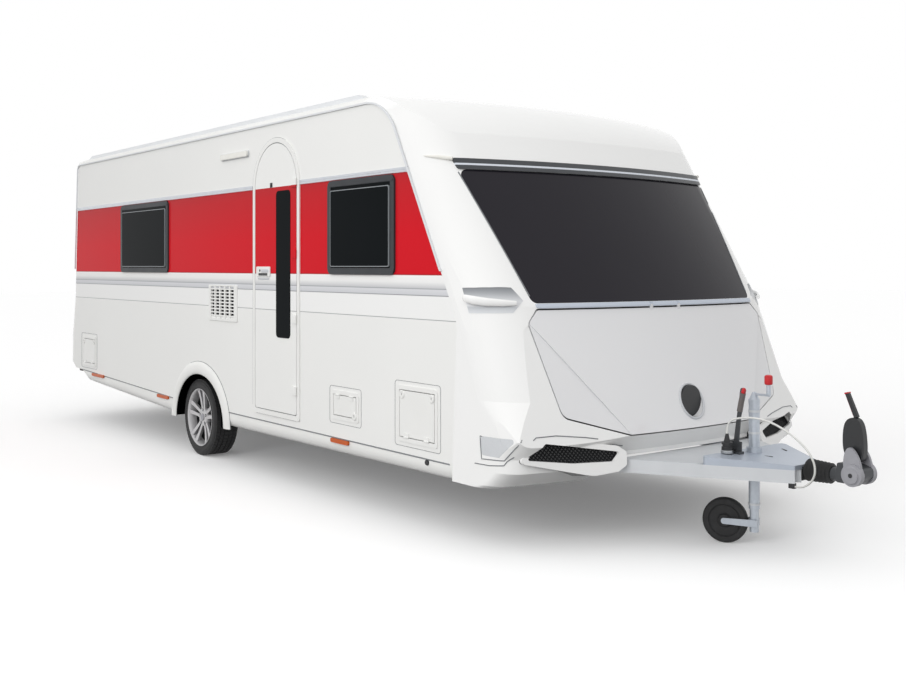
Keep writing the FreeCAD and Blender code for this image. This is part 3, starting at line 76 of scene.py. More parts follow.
def addNode(tree, kind, settings=None, links=None):
    node = tree.nodes.new(kind)
    for key, value in (settings or {}).items():
        if isinstance(key, str) and hasattr(node, key):
            setattr(node, key, value)
        else:
            node.inputs[key].default_value = value
    for key, socket in (links or {}).items():
        tree.links.new(socket, node.inputs[key])
    return node


def maths(tree, operation, *values):
    node = addNode(tree, "ShaderNodeMath", {"operation": operation})
    for socket, value in zip(node.inputs, values):
        if isinstance(value, (int, float)):
            socket.default_value = value
        else:
            tree.links.new(value, socket)
    return node.outputs[0]


def between(tree, value, low, high):
    inside = [maths(tree, "GREATER_THAN", value, low), maths(tree, "LESS_THAN", value, high)]
    return maths(tree, "MULTIPLY", *inside)


def noise(tree, coords, size, detail):
    settings = {"Scale": 1 / size, "Detail": detail}
    return addNode(tree, "ShaderNodeTexNoise", settings, {"Vector": coords}).outputs["Fac"]


def newMaterial(name, shades, patch, rough, bump, **shader):
    # shades: the colour and the one it drifts to, patch: how wide a drift is, bump: depth and grain, metres
    material = bpy.data.materials.new(name)
    material.use_nodes = True
    tree = material.node_tree
    surface = tree.nodes["Principled BSDF"]
    coords = addNode(tree, "ShaderNodeTexCoord").outputs["Object"]
    drift = noise(tree, coords, patch, 4.0)
    colours = {"data_type": "RGBA", 6: toLinear(shades[0]), 7: toLinear(shades[1])}
    shade = addNode(tree, "ShaderNodeMix", colours, {0: drift}).outputs[2]
    gloss = addNode(tree, "ShaderNodeMapRange", {"To Min": rough[0], "To Max": rough[1]}, {"Value": drift})
    relief = addNode(tree, "ShaderNodeBump", {"Strength": 1.0, "Distance": bump[0]},
                     {"Height": noise(tree, coords, bump[1], 3.0)})
    tree.links.new(shade, surface.inputs["Base Color"])
    tree.links.new(gloss.outputs["Result"], surface.inputs["Roughness"])
    tree.links.new(relief.outputs["Normal"], surface.inputs["Normal"])
    for key, value in shader.items():
        surface.inputs[shaderInputs[key]].default_value = value
    return Finish(material, tree, surface, coords, shade)


def dress(finish, *names):
    for name in names:
        for slot in nodes[name].material_slots:
            slot.material = finish.material


def rampOf(tree, value, stops, interpolation="LINEAR"):
    # A colour for each height: stops are (height, hex colour), from low to high
    low, high = stops[0][0], stops[-1][0]
    share = addNode(tree, "ShaderNodeMapRange", {"From Min": low, "From Max": high}, {"Value": value})
    node = addNode(tree, "ShaderNodeValToRGB", {}, {"Fac": share.outputs["Result"]})
    ramp = node.color_ramp
    ramp.interpolation = interpolation
    for i, (height, colour) in enumerate(stops):
        spot = (height - low) / (high - low)
        element = ramp.elements[i] if i < 2 else ramp.elements.new(spot)
        element.position = spot
        element.color = toLinear(colour)
    return node.outputs["Color"]


def recolour(finish, colour, mask):
    # Puts a second colour over a material's own one, where mask is 1
    links = {0: mask, 6: finish.shade, 7: colour}
    shade = addNode(finish.tree, "ShaderNodeMix", {"data_type": "RGBA"}, links).outputs[2]
    finish.tree.links.new(shade, finish.surface.inputs["Base Color"])
    return finish._replace(shade=shade)


def axesOf(finish):
    parts = addNode(finish.tree, "ShaderNodeSeparateXYZ", {}, {"Vector": finish.coords}).outputs
    return parts["X"], parts["Y"], parts["Z"]


def banded(finish, above, stops, interpolation="LINEAR"):
    # Gives a material the stops' colours by height, wherever it lies higher than above
    tree, height = finish.tree, axesOf(finish)[2]
    return recolour(finish, rampOf(tree, height, stops, interpolation),
                    maths(tree, "GREATER_THAN", height, above))


print("caravan: materials")

# Coil-coated aluminium sheet, as on the side walls: even and glossy, with a faint waviness
paintedSheet = newMaterial("coil_coated_aluminium", ("#f1f1ef", "#ececea"), 0.9, (0.16, 0.24), (0.0004, 0.35),
                           ior=1.25, specular=0.1)

# The red and the grey bands on it. Each ends in a slope, which passes a point (x, z) of the frame. Between
# 1.4165 and 1.455 the belt grades from grey up to white: painted shading of its rounded profile
stripesAndShading = {
    "foot": 1.2325, "redFoot": 1.495, "top": 2.115,
    "ends": (((2.0025, 2.122), 0.536), ((2.3745, 1.470), 0.41)),
    "colours": ((1.2000, "#f1f1f0"), (1.2325, "#f1f1f0"), (1.2335, "#7f8184"), (1.2375, "#85878a"),
                (1.2385, "#f2f2f1"),
                (1.3745, "#f2f2f1"), (1.3755, "#6f7176"), (1.3785, "#85878c"), (1.3795, "#cfd0d4"),
                (1.4120, "#dcdde0"), (1.4135, "#8f9196"), (1.4155, "#96989c"), (1.4165, "#c6c7ca"),
                (1.4550, "#f0f0ef"), (1.4940, "#f6f4f3"), (1.4950, "#8d1017"), (1.4990, "#b3141f"),
                (1.5050, "#d41a27"), (1.7500, "#d41a27"), (2.0400, "#c6242c"), (2.1150, "#bd2a30"),
                (2.2000, "#bd2a30")),
}
sheetX, _, sheetZ = axesOf(paintedSheet)
sheetTree = paintedSheet.tree
isRed = maths(sheetTree, "GREATER_THAN", sheetZ, stripesAndShading["redFoot"])
isGrey = maths(sheetTree, "SUBTRACT", 1.0, isRed)
inStripes = []
for band, ((x, z), slope) in zip((isRed, isGrey), stripesAndShading["ends"]):
    end = maths(sheetTree, "MULTIPLY_ADD", sheetZ, -slope, x + z * slope)
    inStripes.append(maths(sheetTree, "MULTIPLY", band, maths(sheetTree, "LESS_THAN", sheetX, end)))
stripeAndShadeMask = maths(sheetTree, "MULTIPLY", between(sheetTree, sheetZ, stripesAndShading["foot"], stripesAndShading["top"]),
                   maths(sheetTree, "MAXIMUM", *inStripes))
paintedSheet = recolour(paintedSheet, rampOf(sheetTree, sheetZ, stripesAndShading["colours"]), stripeAndShadeMask)

# Gel-coated glass fibre, as on the nose and tail: deep gloss, very slightly uneven
gelcoat = newMaterial("gelcoated_fibreglass", ("#f4f4f3", "#efefee"), 1.2, (0.10, 0.18), (0.0006, 0.5),
                      ior=1.52, coat=0.25, coatRough=0.03)
# The locker's lid is a second moulding, a shade darker, with a blue-grey profile along its hinge
lidGelcoat = newMaterial("gelcoated_fibreglass_lid", ("#e9e9ea", "#e3e3e5"), 0.8, (0.14, 0.22), (0.0005, 0.4),
                         ior=1.52, coat=0.25, coatRough=0.04)
lidGelcoat = banded(lidGelcoat, 1.3245, ((1.2, "#b4bdca"), (1.4, "#c3ccd8")))
# Glass-fibre laminate on the roof: a little greyer and duller than the nose, with a fine weave
roofSkin = newMaterial("roof_laminate", ("#ededeb", "#e2e2df"), 0.5, (0.32, 0.45), (0.0003, 0.006), ior=1.5)
# Vacuum-formed ABS, for the skirts, trims and flap frames: a soft gloss with a fine orange peel
whiteAbs = newMaterial("vacuum_formed_abs", ("#eeeeec", "#e6e6e3"), 0.3, (0.28, 0.38), (0.00012, 0.004),
                       ior=1.54)
greyAbs = newMaterial("grey_abs", ("#c9cbce", "#bfc1c5"), 0.2, (0.3, 0.42), (0.00012, 0.003), ior=1.54)
# Moulded polyurethane window frames, near black with a faint grain, and the panes' greyer rims
frameResin = newMaterial("polyurethane_frame", ("#34373b", "#2c2f33"), 0.15, (0.4, 0.55), (0.00015, 0.0015),
                         ior=1.5, specular=0.3)
frameEdge = newMaterial("frame_edge_grey", ("#8f9498", "#84898d"), 0.1, (0.3, 0.4), (0.0001, 0.002), ior=1.5)
# Smoked acrylic: near black, with sharp reflections. The front pane is tinted a little warmer
smokedAcrylic = newMaterial("smoked_acrylic", ("#0c1012", "#101417"), 0.6, (0.05, 0.09), (0.0002, 0.3),
                            ior=1.2, specular=0.1)
frontAcrylic = newMaterial("tinted_front_acrylic", ("#232127", "#28262c"), 0.7, (0.10, 0.16), (0.0002, 0.4),
                           ior=1.49, specular=0.14)
# Extruded aluminium: clear anodised and pale on the sides, coated white on the roof's edges
anodised = newMaterial("anodised_aluminium", ("#d4d7dc", "#c4c8ce"), 0.05, (0.24, 0.36), (0.00008, 0.002),
                       metal=0.9)
paleRail = newMaterial("white_coated_extrusion", ("#e4e6e8", "#d9dbde"), 0.3, (0.3, 0.4), (0.0001, 0.004),
                       ior=1.5)
# The rails at the front window: the upper one dark with a bright line, the lower one bright
darkRail = newMaterial("dark_rail_profile", ("#2f3236", "#3a3d41"), 0.2, (0.3, 0.42), (0.0001, 0.004),
                       ior=1.5)
railSplit, railLine = 1.7, (2.146, 2.158)
railZ = axesOf(darkRail)[2]
isBright = maths(darkRail.tree, "MAXIMUM", maths(darkRail.tree, "LESS_THAN", railZ, railSplit),
                 between(darkRail.tree, railZ, *railLine))
brightRail = rampOf(darkRail.tree, railZ, ((1.2, "#b9c1ce"), (1.45, "#c8d0dc"), (2.2, "#d5dae2")))
darkRail = recolour(darkRail, brightRail, isBright)
# Silver powder coat on the drawbar's cover: a slight blue, with a fine texture
silverCover = newMaterial("silver_powder_coat", ("#b9c0cb", "#aab2be"), 0.25, (0.34, 0.46), (0.0002, 0.0025),
                          metal=0.35)
# Zinc from the bath: crystals a centimetre or two across, each a slightly different grey
galvanised = newMaterial("hot_dip_galvanised", ("#c3c9d1", "#b3bac3"), 0.08, (0.34, 0.48), (0.00015, 0.006),
                         metal=0.55)
zincTree, zincCoords = galvanised.tree, galvanised.coords
crystals = addNode(zincTree, "ShaderNodeTexVoronoi", {"Scale": 70.0, "feature": "F1"}, {"Vector": zincCoords})
crystalShare = addNode(zincTree, "ShaderNodeSeparateColor", {},
                       {"Color": crystals.outputs["Color"]}).outputs[0]
galvanised = recolour(galvanised, rampOf(zincTree, crystalShare, ((0.0, "#bac1ca"), (1.0, "#c8ced6"))),
                      noise(zincTree, zincCoords, 1 / 6, 2.0))
# Painted steel of the drawbar, and the plated steel of bolts and clips, which shines more
paleSteel = newMaterial("pale_painted_steel", ("#d6d8db", "#c8cbce"), 0.15, (0.32, 0.45), (0.0001, 0.003),
                        metal=0.25)
zincBolt = newMaterial("zinc_plated_steel", ("#b9bbbd", "#9fa3a6"), 0.01, (0.25, 0.4), (0.00005, 0.002),
                       metal=0.9)
# Cast aluminium under a clear lacquer: bright silver and slightly grainy. Deep in the wheel it is painted
# near black, darker towards the bottom: painted shade
alloyAndShade = newMaterial("lacquered_cast_alloy_and_painted_shade", ("#c4c3c4", "#b8b7b9"), 0.06, (0.28, 0.38), (0.00006, 0.0012),
                    metal=0.45, coat=0.2, coatRough=0.08)
alloyY, alloyZ = axesOf(alloyAndShade)[1:]
paintedShadeInWheel = maths(alloyAndShade.tree, "LESS_THAN", maths(alloyAndShade.tree, "ABSOLUTE", alloyY), 1.140)
alloyAndShade = recolour(alloyAndShade, rampOf(alloyAndShade.tree, alloyZ, ((0.0, "#2b2c2e"), (0.62, "#3a3b3d"))), paintedShadeInWheel)
# Cast iron with its sand grain, painted black on the axle, and greyer on the coupling
castIron = newMaterial("black_cast_iron", ("#2c2d30", "#3a3b3d"), 0.05, (0.45, 0.6), (0.0004, 0.004),
                       metal=0.3)
couplingCast = newMaterial("grey_cast_coupling", ("#4b4d50", "#3e4043"), 0.05, (0.38, 0.52), (0.0003, 0.004),
                           metal=0.35)
# Rubber of tyres and seals: dull, the tyres dullest
rubber = newMaterial("tyre_rubber", ("#2a2a2b", "#202021"), 0.05, (0.62, 0.78), (0.0003, 0.004), ior=1.52)
sealRubber = newMaterial("epdm_seal", ("#26272a", "#1c1d1f"), 0.03, (0.5, 0.65), (0.0001, 0.003), ior=1.52)
# Grey seal strip, whose grey also draws the painted shadow lines round the flaps and along the nose's bezel
greySealAndShadowLine = newMaterial("grey_seal_and_painted_shadow_line", ("#7d8083", "#717477"), 0.05, (0.4, 0.55), (0.0001, 0.003), ior=1.5)
# Glass-filled nylon with a spark-eroded grain, for grips, pads and the coupling's lever
blackNylon = newMaterial("black_nylon", ("#1b1c1e", "#232427"), 0.04, (0.38, 0.52), (0.0002, 0.0015),
                         ior=1.53)
padGrey = newMaterial("grey_nylon", ("#a3a3a8", "#94949a"), 0.06, (0.4, 0.52), (0.0002, 0.002), ior=1.53)
gripGrey = newMaterial("warm_grey_grip", ("#6a6462", "#5a5553"), 0.04, (0.25, 0.36), (0.0001, 0.002), ior=1.5)
# Moulded polypropylene for the red knobs, and the soft vinyl round the cable: both with a mild gloss
redPlastic = newMaterial("red_polypropylene", ("#cf2027", "#b81a21"), 0.04, (0.3, 0.42), (0.0001, 0.003),
                         ior=1.49)
cableSheath = newMaterial("pale_pvc_sheath", ("#e2e2df", "#d6d6d2"), 0.05, (0.34, 0.46), (0.0001, 0.002),
                          ior=1.53)
# Polycarbonate lenses with their prisms. The porch lamp over the door is of the same node as the amber ones
amberLens = newMaterial("amber_polycarbonate", ("#d0601c", "#b04a14"), 0.03, (0.18, 0.28), (0.0006, 0.006),
                        ior=1.58, specular=0.15)
amberLens = banded(amberLens, 1.5, ((2.3, "#dcdcd8"), (2.5, "#e6e6e2")))
whiteLens = newMaterial("opal_polycarbonate", ("#f0efe9", "#e4e2da"), 0.05, (0.12, 0.2), (0.0003, 0.005),
                        ior=1.58, coat=0.5)
clearLens = newMaterial("clear_polycarbonate", ("#dfe2e5", "#d2d5d9"), 0.1, (0.06, 0.12), (0.0016, 0.012),
                        ior=1.58, clear=0.15)
reflector = newMaterial("metallised_reflector", ("#e6e7e8", "#cfd1d4"), 0.03, (0.12, 0.2), (0.0004, 0.01),
                        metal=0.9)
redLens = newMaterial("rear_lamp_polycarbonate", ("#a31219", "#8c0f16"), 0.03, (0.08, 0.14), (0.0008, 0.007),
                      ior=1.58, coat=0.7)
redLens = banded(redLens, 0.0, ((0.64, "#a31219"), (0.745, "#a31219"), (0.75, "#e9e7e3"), (0.80, "#e9e7e3"),
                                (0.805, "#d9661c"), (0.875, "#d9661c"), (0.88, "#a31219"), (1.0, "#a31219")),
                 "CONSTANT")
reflexRed = newMaterial("red_reflex_prisms", ("#b3161d", "#8f1017"), 0.01, (0.1, 0.2), (0.001, 0.003),
                        ior=1.49)
# The plate's reflective sheet, left blank
plateWhite = newMaterial("blank_plate_sheet", ("#ecece8", "#e2e2dd"), 0.1, (0.3, 0.4), (0.00005, 0.004),
                         ior=1.5)
# Near black that gives back next to nothing: painted shadow inside the wheel housings and on the wall round
# the arches
paintedShadowBlack = newMaterial("painted_shadow_black", ("#070708", "#0b0b0c"), 0.05, (0.8, 0.95),
                           (0.0002, 0.004), ior=1.2, specular=0.0)
# Phenolic-faced plywood, for the floor's underside and the locker's back wall: brown and dull
plywood = newMaterial("phenolic_plywood", ("#3a3430", "#463f39"), 0.12, (0.5, 0.65), (0.0002, 0.003), ior=1.5)
# Black grilles moulded from ABS, matt so that the gaps read as holes. The same black on the plate behind the
# side vent is painted shade
blackGrilleAndShade = newMaterial("black_grille_and_painted_shade", ("#191a1c", "#202123"), 0.05, (0.5, 0.65), (0.0002, 0.002),
                        ior=1.5, specular=0.15)
# The hollow behind the grab bars: painted shade, grey and darkest at its top, where the bar across it shades
# it
grabRecessShade = newMaterial("grab_recess_painted_shade", ("#b9bbbe", "#aeb0b3"), 0.1, (0.3, 0.42), (0.0001, 0.003),
                     ior=1.5)
grabRecessShade = banded(grabRecessShade, 0.0, ((1.28, "#dfe1e4"), (1.318, "#c5c8cc"), (1.330, "#e6e7e9"), (1.40, "#9da0a4"),
                              (1.43, "#7c7f83")))

# The bumper's horn is pale outside, and black in the pocket that holds its grille
horn = {"tip": (4.190, 0.589, 0.500), "turn": -0.33, "lean": -0.25, "rim": 0.016}
hornFinish = newMaterial("horn_moulding", ("#f0f0ef", "#e8e8e7"), 0.3, (0.2, 0.3), (0.0002, 0.004),
                         ior=1.5, coat=0.15)
hornX, hornY, hornZ = axesOf(hornFinish)
hornTree = hornFinish.tree
tipX, tipY, tipZ = horn["tip"]
outward = maths(hornTree, "SUBTRACT", maths(hornTree, "ABSOLUTE", hornY), tipY)
leaning = maths(hornTree, "MULTIPLY", maths(hornTree, "SUBTRACT", hornZ, tipZ), horn["lean"])
turnedBack = maths(hornTree, "MULTIPLY_ADD", outward, horn["turn"], leaning)
frontPlane = maths(hornTree, "ADD", turnedBack, tipX + axleX)
inPocket = maths(hornTree, "GREATER_THAN", maths(hornTree, "SUBTRACT", frontPlane, hornX), horn["rim"])
hornFinish = recolour(hornFinish, rampOf(hornTree, hornZ, ((0.3, "#121315"), (0.7, "#191a1c"))), inPocket)

print("caravan: finishes of the solid parts")
dress(paintedSheet, "side_wall_right", "side_wall_left", "door_panel")
dress(gelcoat, "front_panel", "rear_panel")
dress(lidGelcoat, "locker_lid")
dress(roofSkin, "roof_panel")
dress(whiteAbs, "door_frame", "hatch_frames", "front_hatch", "rear_hatch", "filler_flap", "roof_hatches")
dress(frameResin, "window_frames")
dress(smokedAcrylic, "window_panes", "door_window")
dress(frontAcrylic, "front_window")
dress(paleRail, "side_rails")
dress(darkRail, "window_rails")
dress(galvanised, "chassis_rails", "cross_members", "axle_beam", "steady_front_left", "steady_front_right",
      "steady_rear_left", "steady_rear_right", "jockey_clamp", "jockey_fork", "jockey_leg", "jockey_tube")
dress(paleSteel, "drawbar_rails", "drawbar_deck")
dress(silverCover, "drawbar_cover")
dress(castIron, "axle_arms", "overrun_housing")
dress(couplingCast, "coupling_head", "handbrake")
dress(blackNylon, "coupling_handle", "lid_latch", "cable_holders", "plug")
dress(rubber, "gaiter", "jockey_wheel", "tyre_left", "tyre_right")
dress(padGrey, "stabiliser_pads")
dress(amberLens, "side_lamps")
dress(plywood, "floor_panel", "locker_bulkhead")
dress(paintedShadowBlack, "wheel_tubs")
dress(hornFinish, "bumper_inserts")


# Shapes: each is (vertices, faces), and several are joined into one piece
def joinShapes(shapes):
    vertices, faces = [], []
    for more, loops in shapes:
        base = len(vertices)
        vertices += [Vector(v) for v in more]
        faces += [[i + base for i in loop] for loop in loops]
    return vertices, faces


def prism(outline, depth):
    count = len(outline)
    vertices = [Vector(p) for p in outline] + [Vector(p) + Vector(depth) for p in outline]
    walls = [[i, (i + 1) % count, count + (i + 1) % count, count + i] for i in range(count)]
    return vertices, [list(range(count))[::-1], list(range(count, 2 * count))] + walls


def box(low, high):
    (x0, y0, z0), (x1, y1, z1) = low, high
    return prism([(x0, y0, z0), (x1, y0, z0), (x1, y1, z0), (x0, y1, z0)], (0, 0, z1 - z0))


def roundedRectangle(a0, a1, b0, b1, radius, steps=6):
    points = []
    for a, b, start in ((a1 - radius, b1 - radius, 0), (a0 + radius, b1 - radius, 90),
                        (a0 + radius, b0 + radius, 180), (a1 - radius, b0 + radius, 270)):
        for i in range(steps + 1):
            angle = math.radians(start + 90 * i / steps)
            points.append((a + radius * math.cos(angle), b + radius * math.sin(angle)))
    return points


def ringPlate(outer, inner, depth):
    # A flat ring between two outlines with as many points, given its thickness
    count = len(outer)
    depth = Vector(depth)
    rims = [[Vector(p) for p in outer], [Vector(p) for p in inner]]
    vertices = rims[0] + rims[1] + [p + depth for p in rims[0]] + [p + depth for p in rims[1]]
    faces = []
    for i in range(count):
        j = (i + 1) % count
        faces += [[i, j, count + j, count + i], [2 * count + j, 2 * count + i, 3 * count + i, 3 * count + j],
                  [j, i, 2 * count + i, 2 * count + j], [count + i, count + j, 3 * count + j, 3 * count + i]]
    return vertices, faces


def ringFaces(rings, count, ringsClosed, closed):
    # Faces from each ring of count points to the next
    faces = []
    for i in range(rings if ringsClosed else rings - 1):
        j = (i + 1) % rings
        for k in range(count if closed else count - 1):
            m = (k + 1) % count
            faces.append([i * count + k, i * count + m, j * count + m, j * count + k])
    return faces


def turned(profile, centre, axis, segments=48, closed=False):
    # A profile of (along, radius) turned about an axis through the centre
    axis = Vector(axis).normalized()
    across = axis.orthogonal().normalized()
    third = axis.cross(across)
    centre = Vector(centre)
    vertices = []
    for s in range(segments):
        angle = 2 * math.pi * s / segments
        out = across * math.cos(angle) + third * math.sin(angle)
        vertices += [centre + axis * along + out * radius for along, radius in profile]
    return vertices, ringFaces(segments, len(profile), True, closed)


def sweep(points, radius, sides=10, closed=False):
    points = [Vector(p) for p in points]
    count = len(points)
    vertices = []
    across = None
    for i, point in enumerate(points):
        before = points[i - 1] if closed or i > 0 else point
        after = points[(i + 1) % count] if closed or i < count - 1 else point
        along = (after - before).normalized()
        across = along.orthogonal() if across is None else across - along * across.dot(along)
        across.normalize()
        third = along.cross(across)
        for s in range(sides):
            angle = 2 * math.pi * s / sides
            vertices.append(point + (across * math.cos(angle) + third * math.sin(angle)) * radius)
    faces = ringFaces(count, sides, closed, True)
    if not closed:
        faces += [list(range(sides))[::-1], [(count - 1) * sides + s for s in range(sides)]]
    return vertices, faces


def loft(rings):
    # Closed rings with as many points each, joined in turn and capped at both ends
    count = len(rings[0])
    vertices = [p for ring in rings for p in ring]
    caps = [list(range(count)), [(len(rings) - 1) * count + k for k in range(count)][::-1]]
    return vertices, caps + [[a, d, c, b] for a, b, c, d in ringFaces(len(rings), count, False, True)]


def mirroredShape(shape):
    return [Vector((x, -y, z)) for x, y, z in shape[0]], [loop[::-1] for loop in shape[1]]


def bothSides(shape):
    return joinShapes([shape, mirroredShape(shape)])


def addObject(name, data):
    made = bpy.data.objects.new(name, data)
    scene.collection.objects.link(made)
    return made


def applied(source):
    # The mesh that a scratch object's modifiers make of it. The object itself is removed
    bpy.context.view_layer.update()
    mesh = bpy.data.meshes.new_from_object(source.evaluated_get(bpy.context.evaluated_depsgraph_get()))
    source.modifiers.clear()
    bpy.data.objects.remove(source)
    return mesh


def shapeOf(mesh):
    return [v.co.copy() for v in mesh.vertices], [list(face.vertices) for face in mesh.polygons]


def meshOf(name, shape):
    mesh = bpy.data.meshes.new(name)
    mesh.from_pydata([tuple(v) for v in shape[0]], [], shape[1])
    return mesh


def finishPiece(name, mesh, finish, body, sharpAngle=35, bevel=0.0):
    work = bmesh.new()
    work.from_mesh(mesh)
    bmesh.ops.remove_doubles(work, verts=work.verts, dist=1e-6)
    bmesh.ops.recalc_face_normals(work, faces=work.faces)
    work.to_mesh(mesh)
    work.free()
    mesh.shade_smooth()
    mesh.set_sharp_from_angle(angle=math.radians(sharpAngle))
    mesh.materials.clear()
    mesh.materials.append(finish.material)
    piece = addObject(name, mesh)
    if bevel:
        edge = piece.modifiers.new("softened edges", "BEVEL")
        edge.width = bevel
        edge.segments = 2
        edge.limit_method = "ANGLE"
    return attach(piece, body)


def piece(name, shapes, finish, body, **options):
    return finishPiece(name, meshOf(name, joinShapes(shapes)), finish, body, **options)


# Geometry Nodes: copies of a small item in a row or a ring
def copiesTree():
    tree = bpy.data.node_groups.new("row_or_ring_of_copies", "GeometryNodeTree")
    tree.interface.new_socket("Geometry", in_out="INPUT", socket_type="NodeSocketGeometry")
    for name, kind in (("Count", "NodeSocketInt"), ("Step", "NodeSocketVector"), ("Turn", "NodeSocketVector"),
                       ("Centre", "NodeSocketVector"), ("Finish", "NodeSocketMaterial")):
        tree.interface.new_socket(name, in_out="INPUT", socket_type=kind)
    tree.interface.new_socket("Geometry", in_out="OUTPUT", socket_type="NodeSocketGeometry")
    given = addNode(tree, "NodeGroupInput").outputs
    line = addNode(tree, "GeometryNodeMeshLine", {"mode": "OFFSET"},
                   {"Count": given["Count"], "Start Location": given["Centre"], "Offset": given["Step"]})
    index = addNode(tree, "GeometryNodeInputIndex")
    turn = addNode(tree, "ShaderNodeVectorMath", {"operation": "SCALE"},
                   {0: given["Turn"], "Scale": index.outputs[0]})
    copies = addNode(tree, "GeometryNodeInstanceOnPoints", {},
                     {"Points": line.outputs["Mesh"], "Instance": given["Geometry"],
                      "Rotation": turn.outputs[0]})
    solid = addNode(tree, "GeometryNodeRealizeInstances", {}, {"Geometry": copies.outputs["Instances"]})
    finish = addNode(tree, "GeometryNodeSetMaterial", {}, {"Geometry": solid.outputs["Geometry"],
                                                           "Material": given["Finish"]})
    addNode(tree, "NodeGroupOutput", {}, {"Geometry": finish.outputs["Geometry"]})
    return tree


copiesNodes = copiesTree()


def copies(name, item, count, step, turn, centre, finish, body, **options):
    # The item is drawn about the origin. Each copy is one more step from the centre, and one more turn round
    source = addObject(name + "_item", meshOf(name + "_item", item))
    modifier = source.modifiers.new("copies", "NODES")
    modifier.node_group = copiesNodes
    values = {"Count": count, "Step": Vector(step), "Turn": Vector(turn), "Centre": Vector(centre),
              "Finish": finish.material}
    for socket in copiesNodes.interface.items_tree:
        if socket.in_out == "INPUT" and socket.name in values:
            modifier[socket.identifier] = values[socket.name]
    return finishPiece(name, applied(source), finish, body, **options)


# Points on the body's skin, found by looking at the solids from the front
def skinOf(*names):
    return BVHTree.FromPolygons(*joinShapes([shapeOf(nodes[name].data) for name in names]))


noseSkin = skinOf("front_panel", "front_window", "locker_lid", "window_rails")
tailSkin = skinOf("rear_panel")


def onSkin(skin, side, y, z, out):
    # The skin's point at y and z, seen from the front (side 1) or the rear (-1), also over a narrow joint gap
    for nudge in (0.0, 0.006, -0.006, 0.012, -0.012, 0.020, -0.020):
        hit = skin.ray_cast(Vector((8.0 * side, y + nudge, z + nudge)), Vector((-side, 0, 0)))[0]
        if hit is not None:
            return Vector((hit.x + side * out, y, z))
    raise ValueError(f"no skin at y {y:.3f}, z {z:.3f}")


def onNose(y, z, out=0.0):
    return onSkin(noseSkin, 1, y, z, out)


def onTail(y, z, out=0.0):
    return onSkin(tailSkin, -1, y, z, out)


print("caravan: cable")
cable = {
    "diameter": 0.011,
    "route": ((4.545, -0.181, 0.632), (4.545, -0.181, 0.676), (4.574, -0.179, 0.711), (4.622, -0.172, 0.724),
              (4.683, -0.166, 0.733), (4.750, -0.159, 0.732), (4.815, -0.152, 0.719), (4.876, -0.145, 0.695),
              (4.931, -0.139, 0.665), (4.983, -0.132, 0.629), (5.027, -0.126, 0.585), (5.055, -0.121, 0.533),
              (5.057, -0.117, 0.481), (5.034, -0.112, 0.436), (4.995, -0.108, 0.406), (4.956, -0.102, 0.391),
              (4.925, -0.102, 0.391)),
}
route = [place(*point) for point in reversed(cable["route"])]  # from the clip under the rail up to the plug
line = bpy.data.curves.new("trailer_cable", "CURVE")
line.dimensions = "3D"
line.bevel_depth = cable["diameter"] / 2
line.bevel_resolution = 5
line.use_fill_caps = True
spline = line.splines.new("NURBS")
spline.points.add(len(route) - 1)
for control, point in zip(spline.points, route):
    control.co = (*point, 1.0)
spline.order_u = 3
spline.use_endpoint_u = True
line.materials.append(cableSheath.material)
cablePiece = addObject("trailer_cable", line)
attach(cablePiece, "caravan")
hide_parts("cable")

print("caravan: wheels")
tyre = {"radius": 0.311, "seat": 0.229, "innerY": 1.005, "outerY": 1.210, "crown": 0.3035, "blocks": 62,
        "rows": ((1.016, 1.048, 0.004), (1.055, 1.083, 0.007), (1.090, 1.125, 0.0), (1.132, 1.160, -0.007),
                 (1.167, 1.199, -0.004)), "gap": 0.0045,
        # one sidewall: inset from its face, and rise over the rim's seat
        "wall": ((0.0, 0.008), (0.003, 0.016), (0.001, 0.030), (0.0, 0.046), (0.002, 0.0475), (0.0, 0.049),
                 (0.001, 0.058), (0.005, 0.066), (0.012, 0.0725))}


def tyreSection(side):
    inner, outer = tyre["innerY"], tyre["outerY"]
    near = [(outer - inset, tyre["seat"] + rise) for inset, rise in tyre["wall"]]
    far = [(inner + inset, tyre["seat"] + rise) for inset, rise in reversed(tyre["wall"])]
    bead = [(inner + 0.010, tyre["seat"]), (outer - 0.010, tyre["seat"])]
    crown = [(outer - 0.026, tyre["crown"]), (inner + 0.026, tyre["crown"])]
    return [(side * y, r) for y, r in bead + near + crown + far]


def treadBlock(y0, y1, slant, side):
    step = 2 * math.pi * tyre["radius"] / tyre["blocks"]
    half = (step - tyre["gap"]) / 2
    top = math.sqrt(tyre["radius"] ** 2 - (half + abs(slant)) ** 2) - 0.0002
    corners = [(-half - slant, y0), (half - slant, y0), (half + slant, y1), (-half + slant, y1)]
    outline = [(x, side * y, tyre["crown"] - 0.003) for x, y in corners]
    return prism(outline, (0, 0, top - tyre["crown"] + 0.003))


wheel = {"pairs": 5, "boltCircle": 0.058, "spokeHub": (0.048, 0.0165, 1.1760),
         "spokeRim": (0.2215, 0.0450, 1.1990),
         "spokeWide": (0.0270, 0.0400), "spokeDeep": 0.026,
         "rim": ((1.012, 0.2210), (1.012, 0.2285), (1.200, 0.2285), (1.2035, 0.2335), (1.2085, 0.2335),
                 (1.2095, 0.2300), (1.2070, 0.2255), (1.1985, 0.2215), (1.1900, 0.2170), (1.1500, 0.2120),
                 (1.0700, 0.1950), (1.0400, 0.2150)),
         "hub": ((1.118, 0.0), (1.118, 0.0740), (1.1680, 0.0780), (1.1790, 0.0710), (1.1810, 0.0340),
                 (1.1810, 0.0)),
         "drum": ((1.045, 0.0), (1.045, 0.118), (1.112, 0.118), (1.118, 0.112), (1.118, 0.0)),
         "cap": ((1.1805, 0.0), (1.1805, 0.0290), (1.1835, 0.0300), (1.1865, 0.0280), (1.1880, 0.0120),
                 (1.1885, 0.0))}


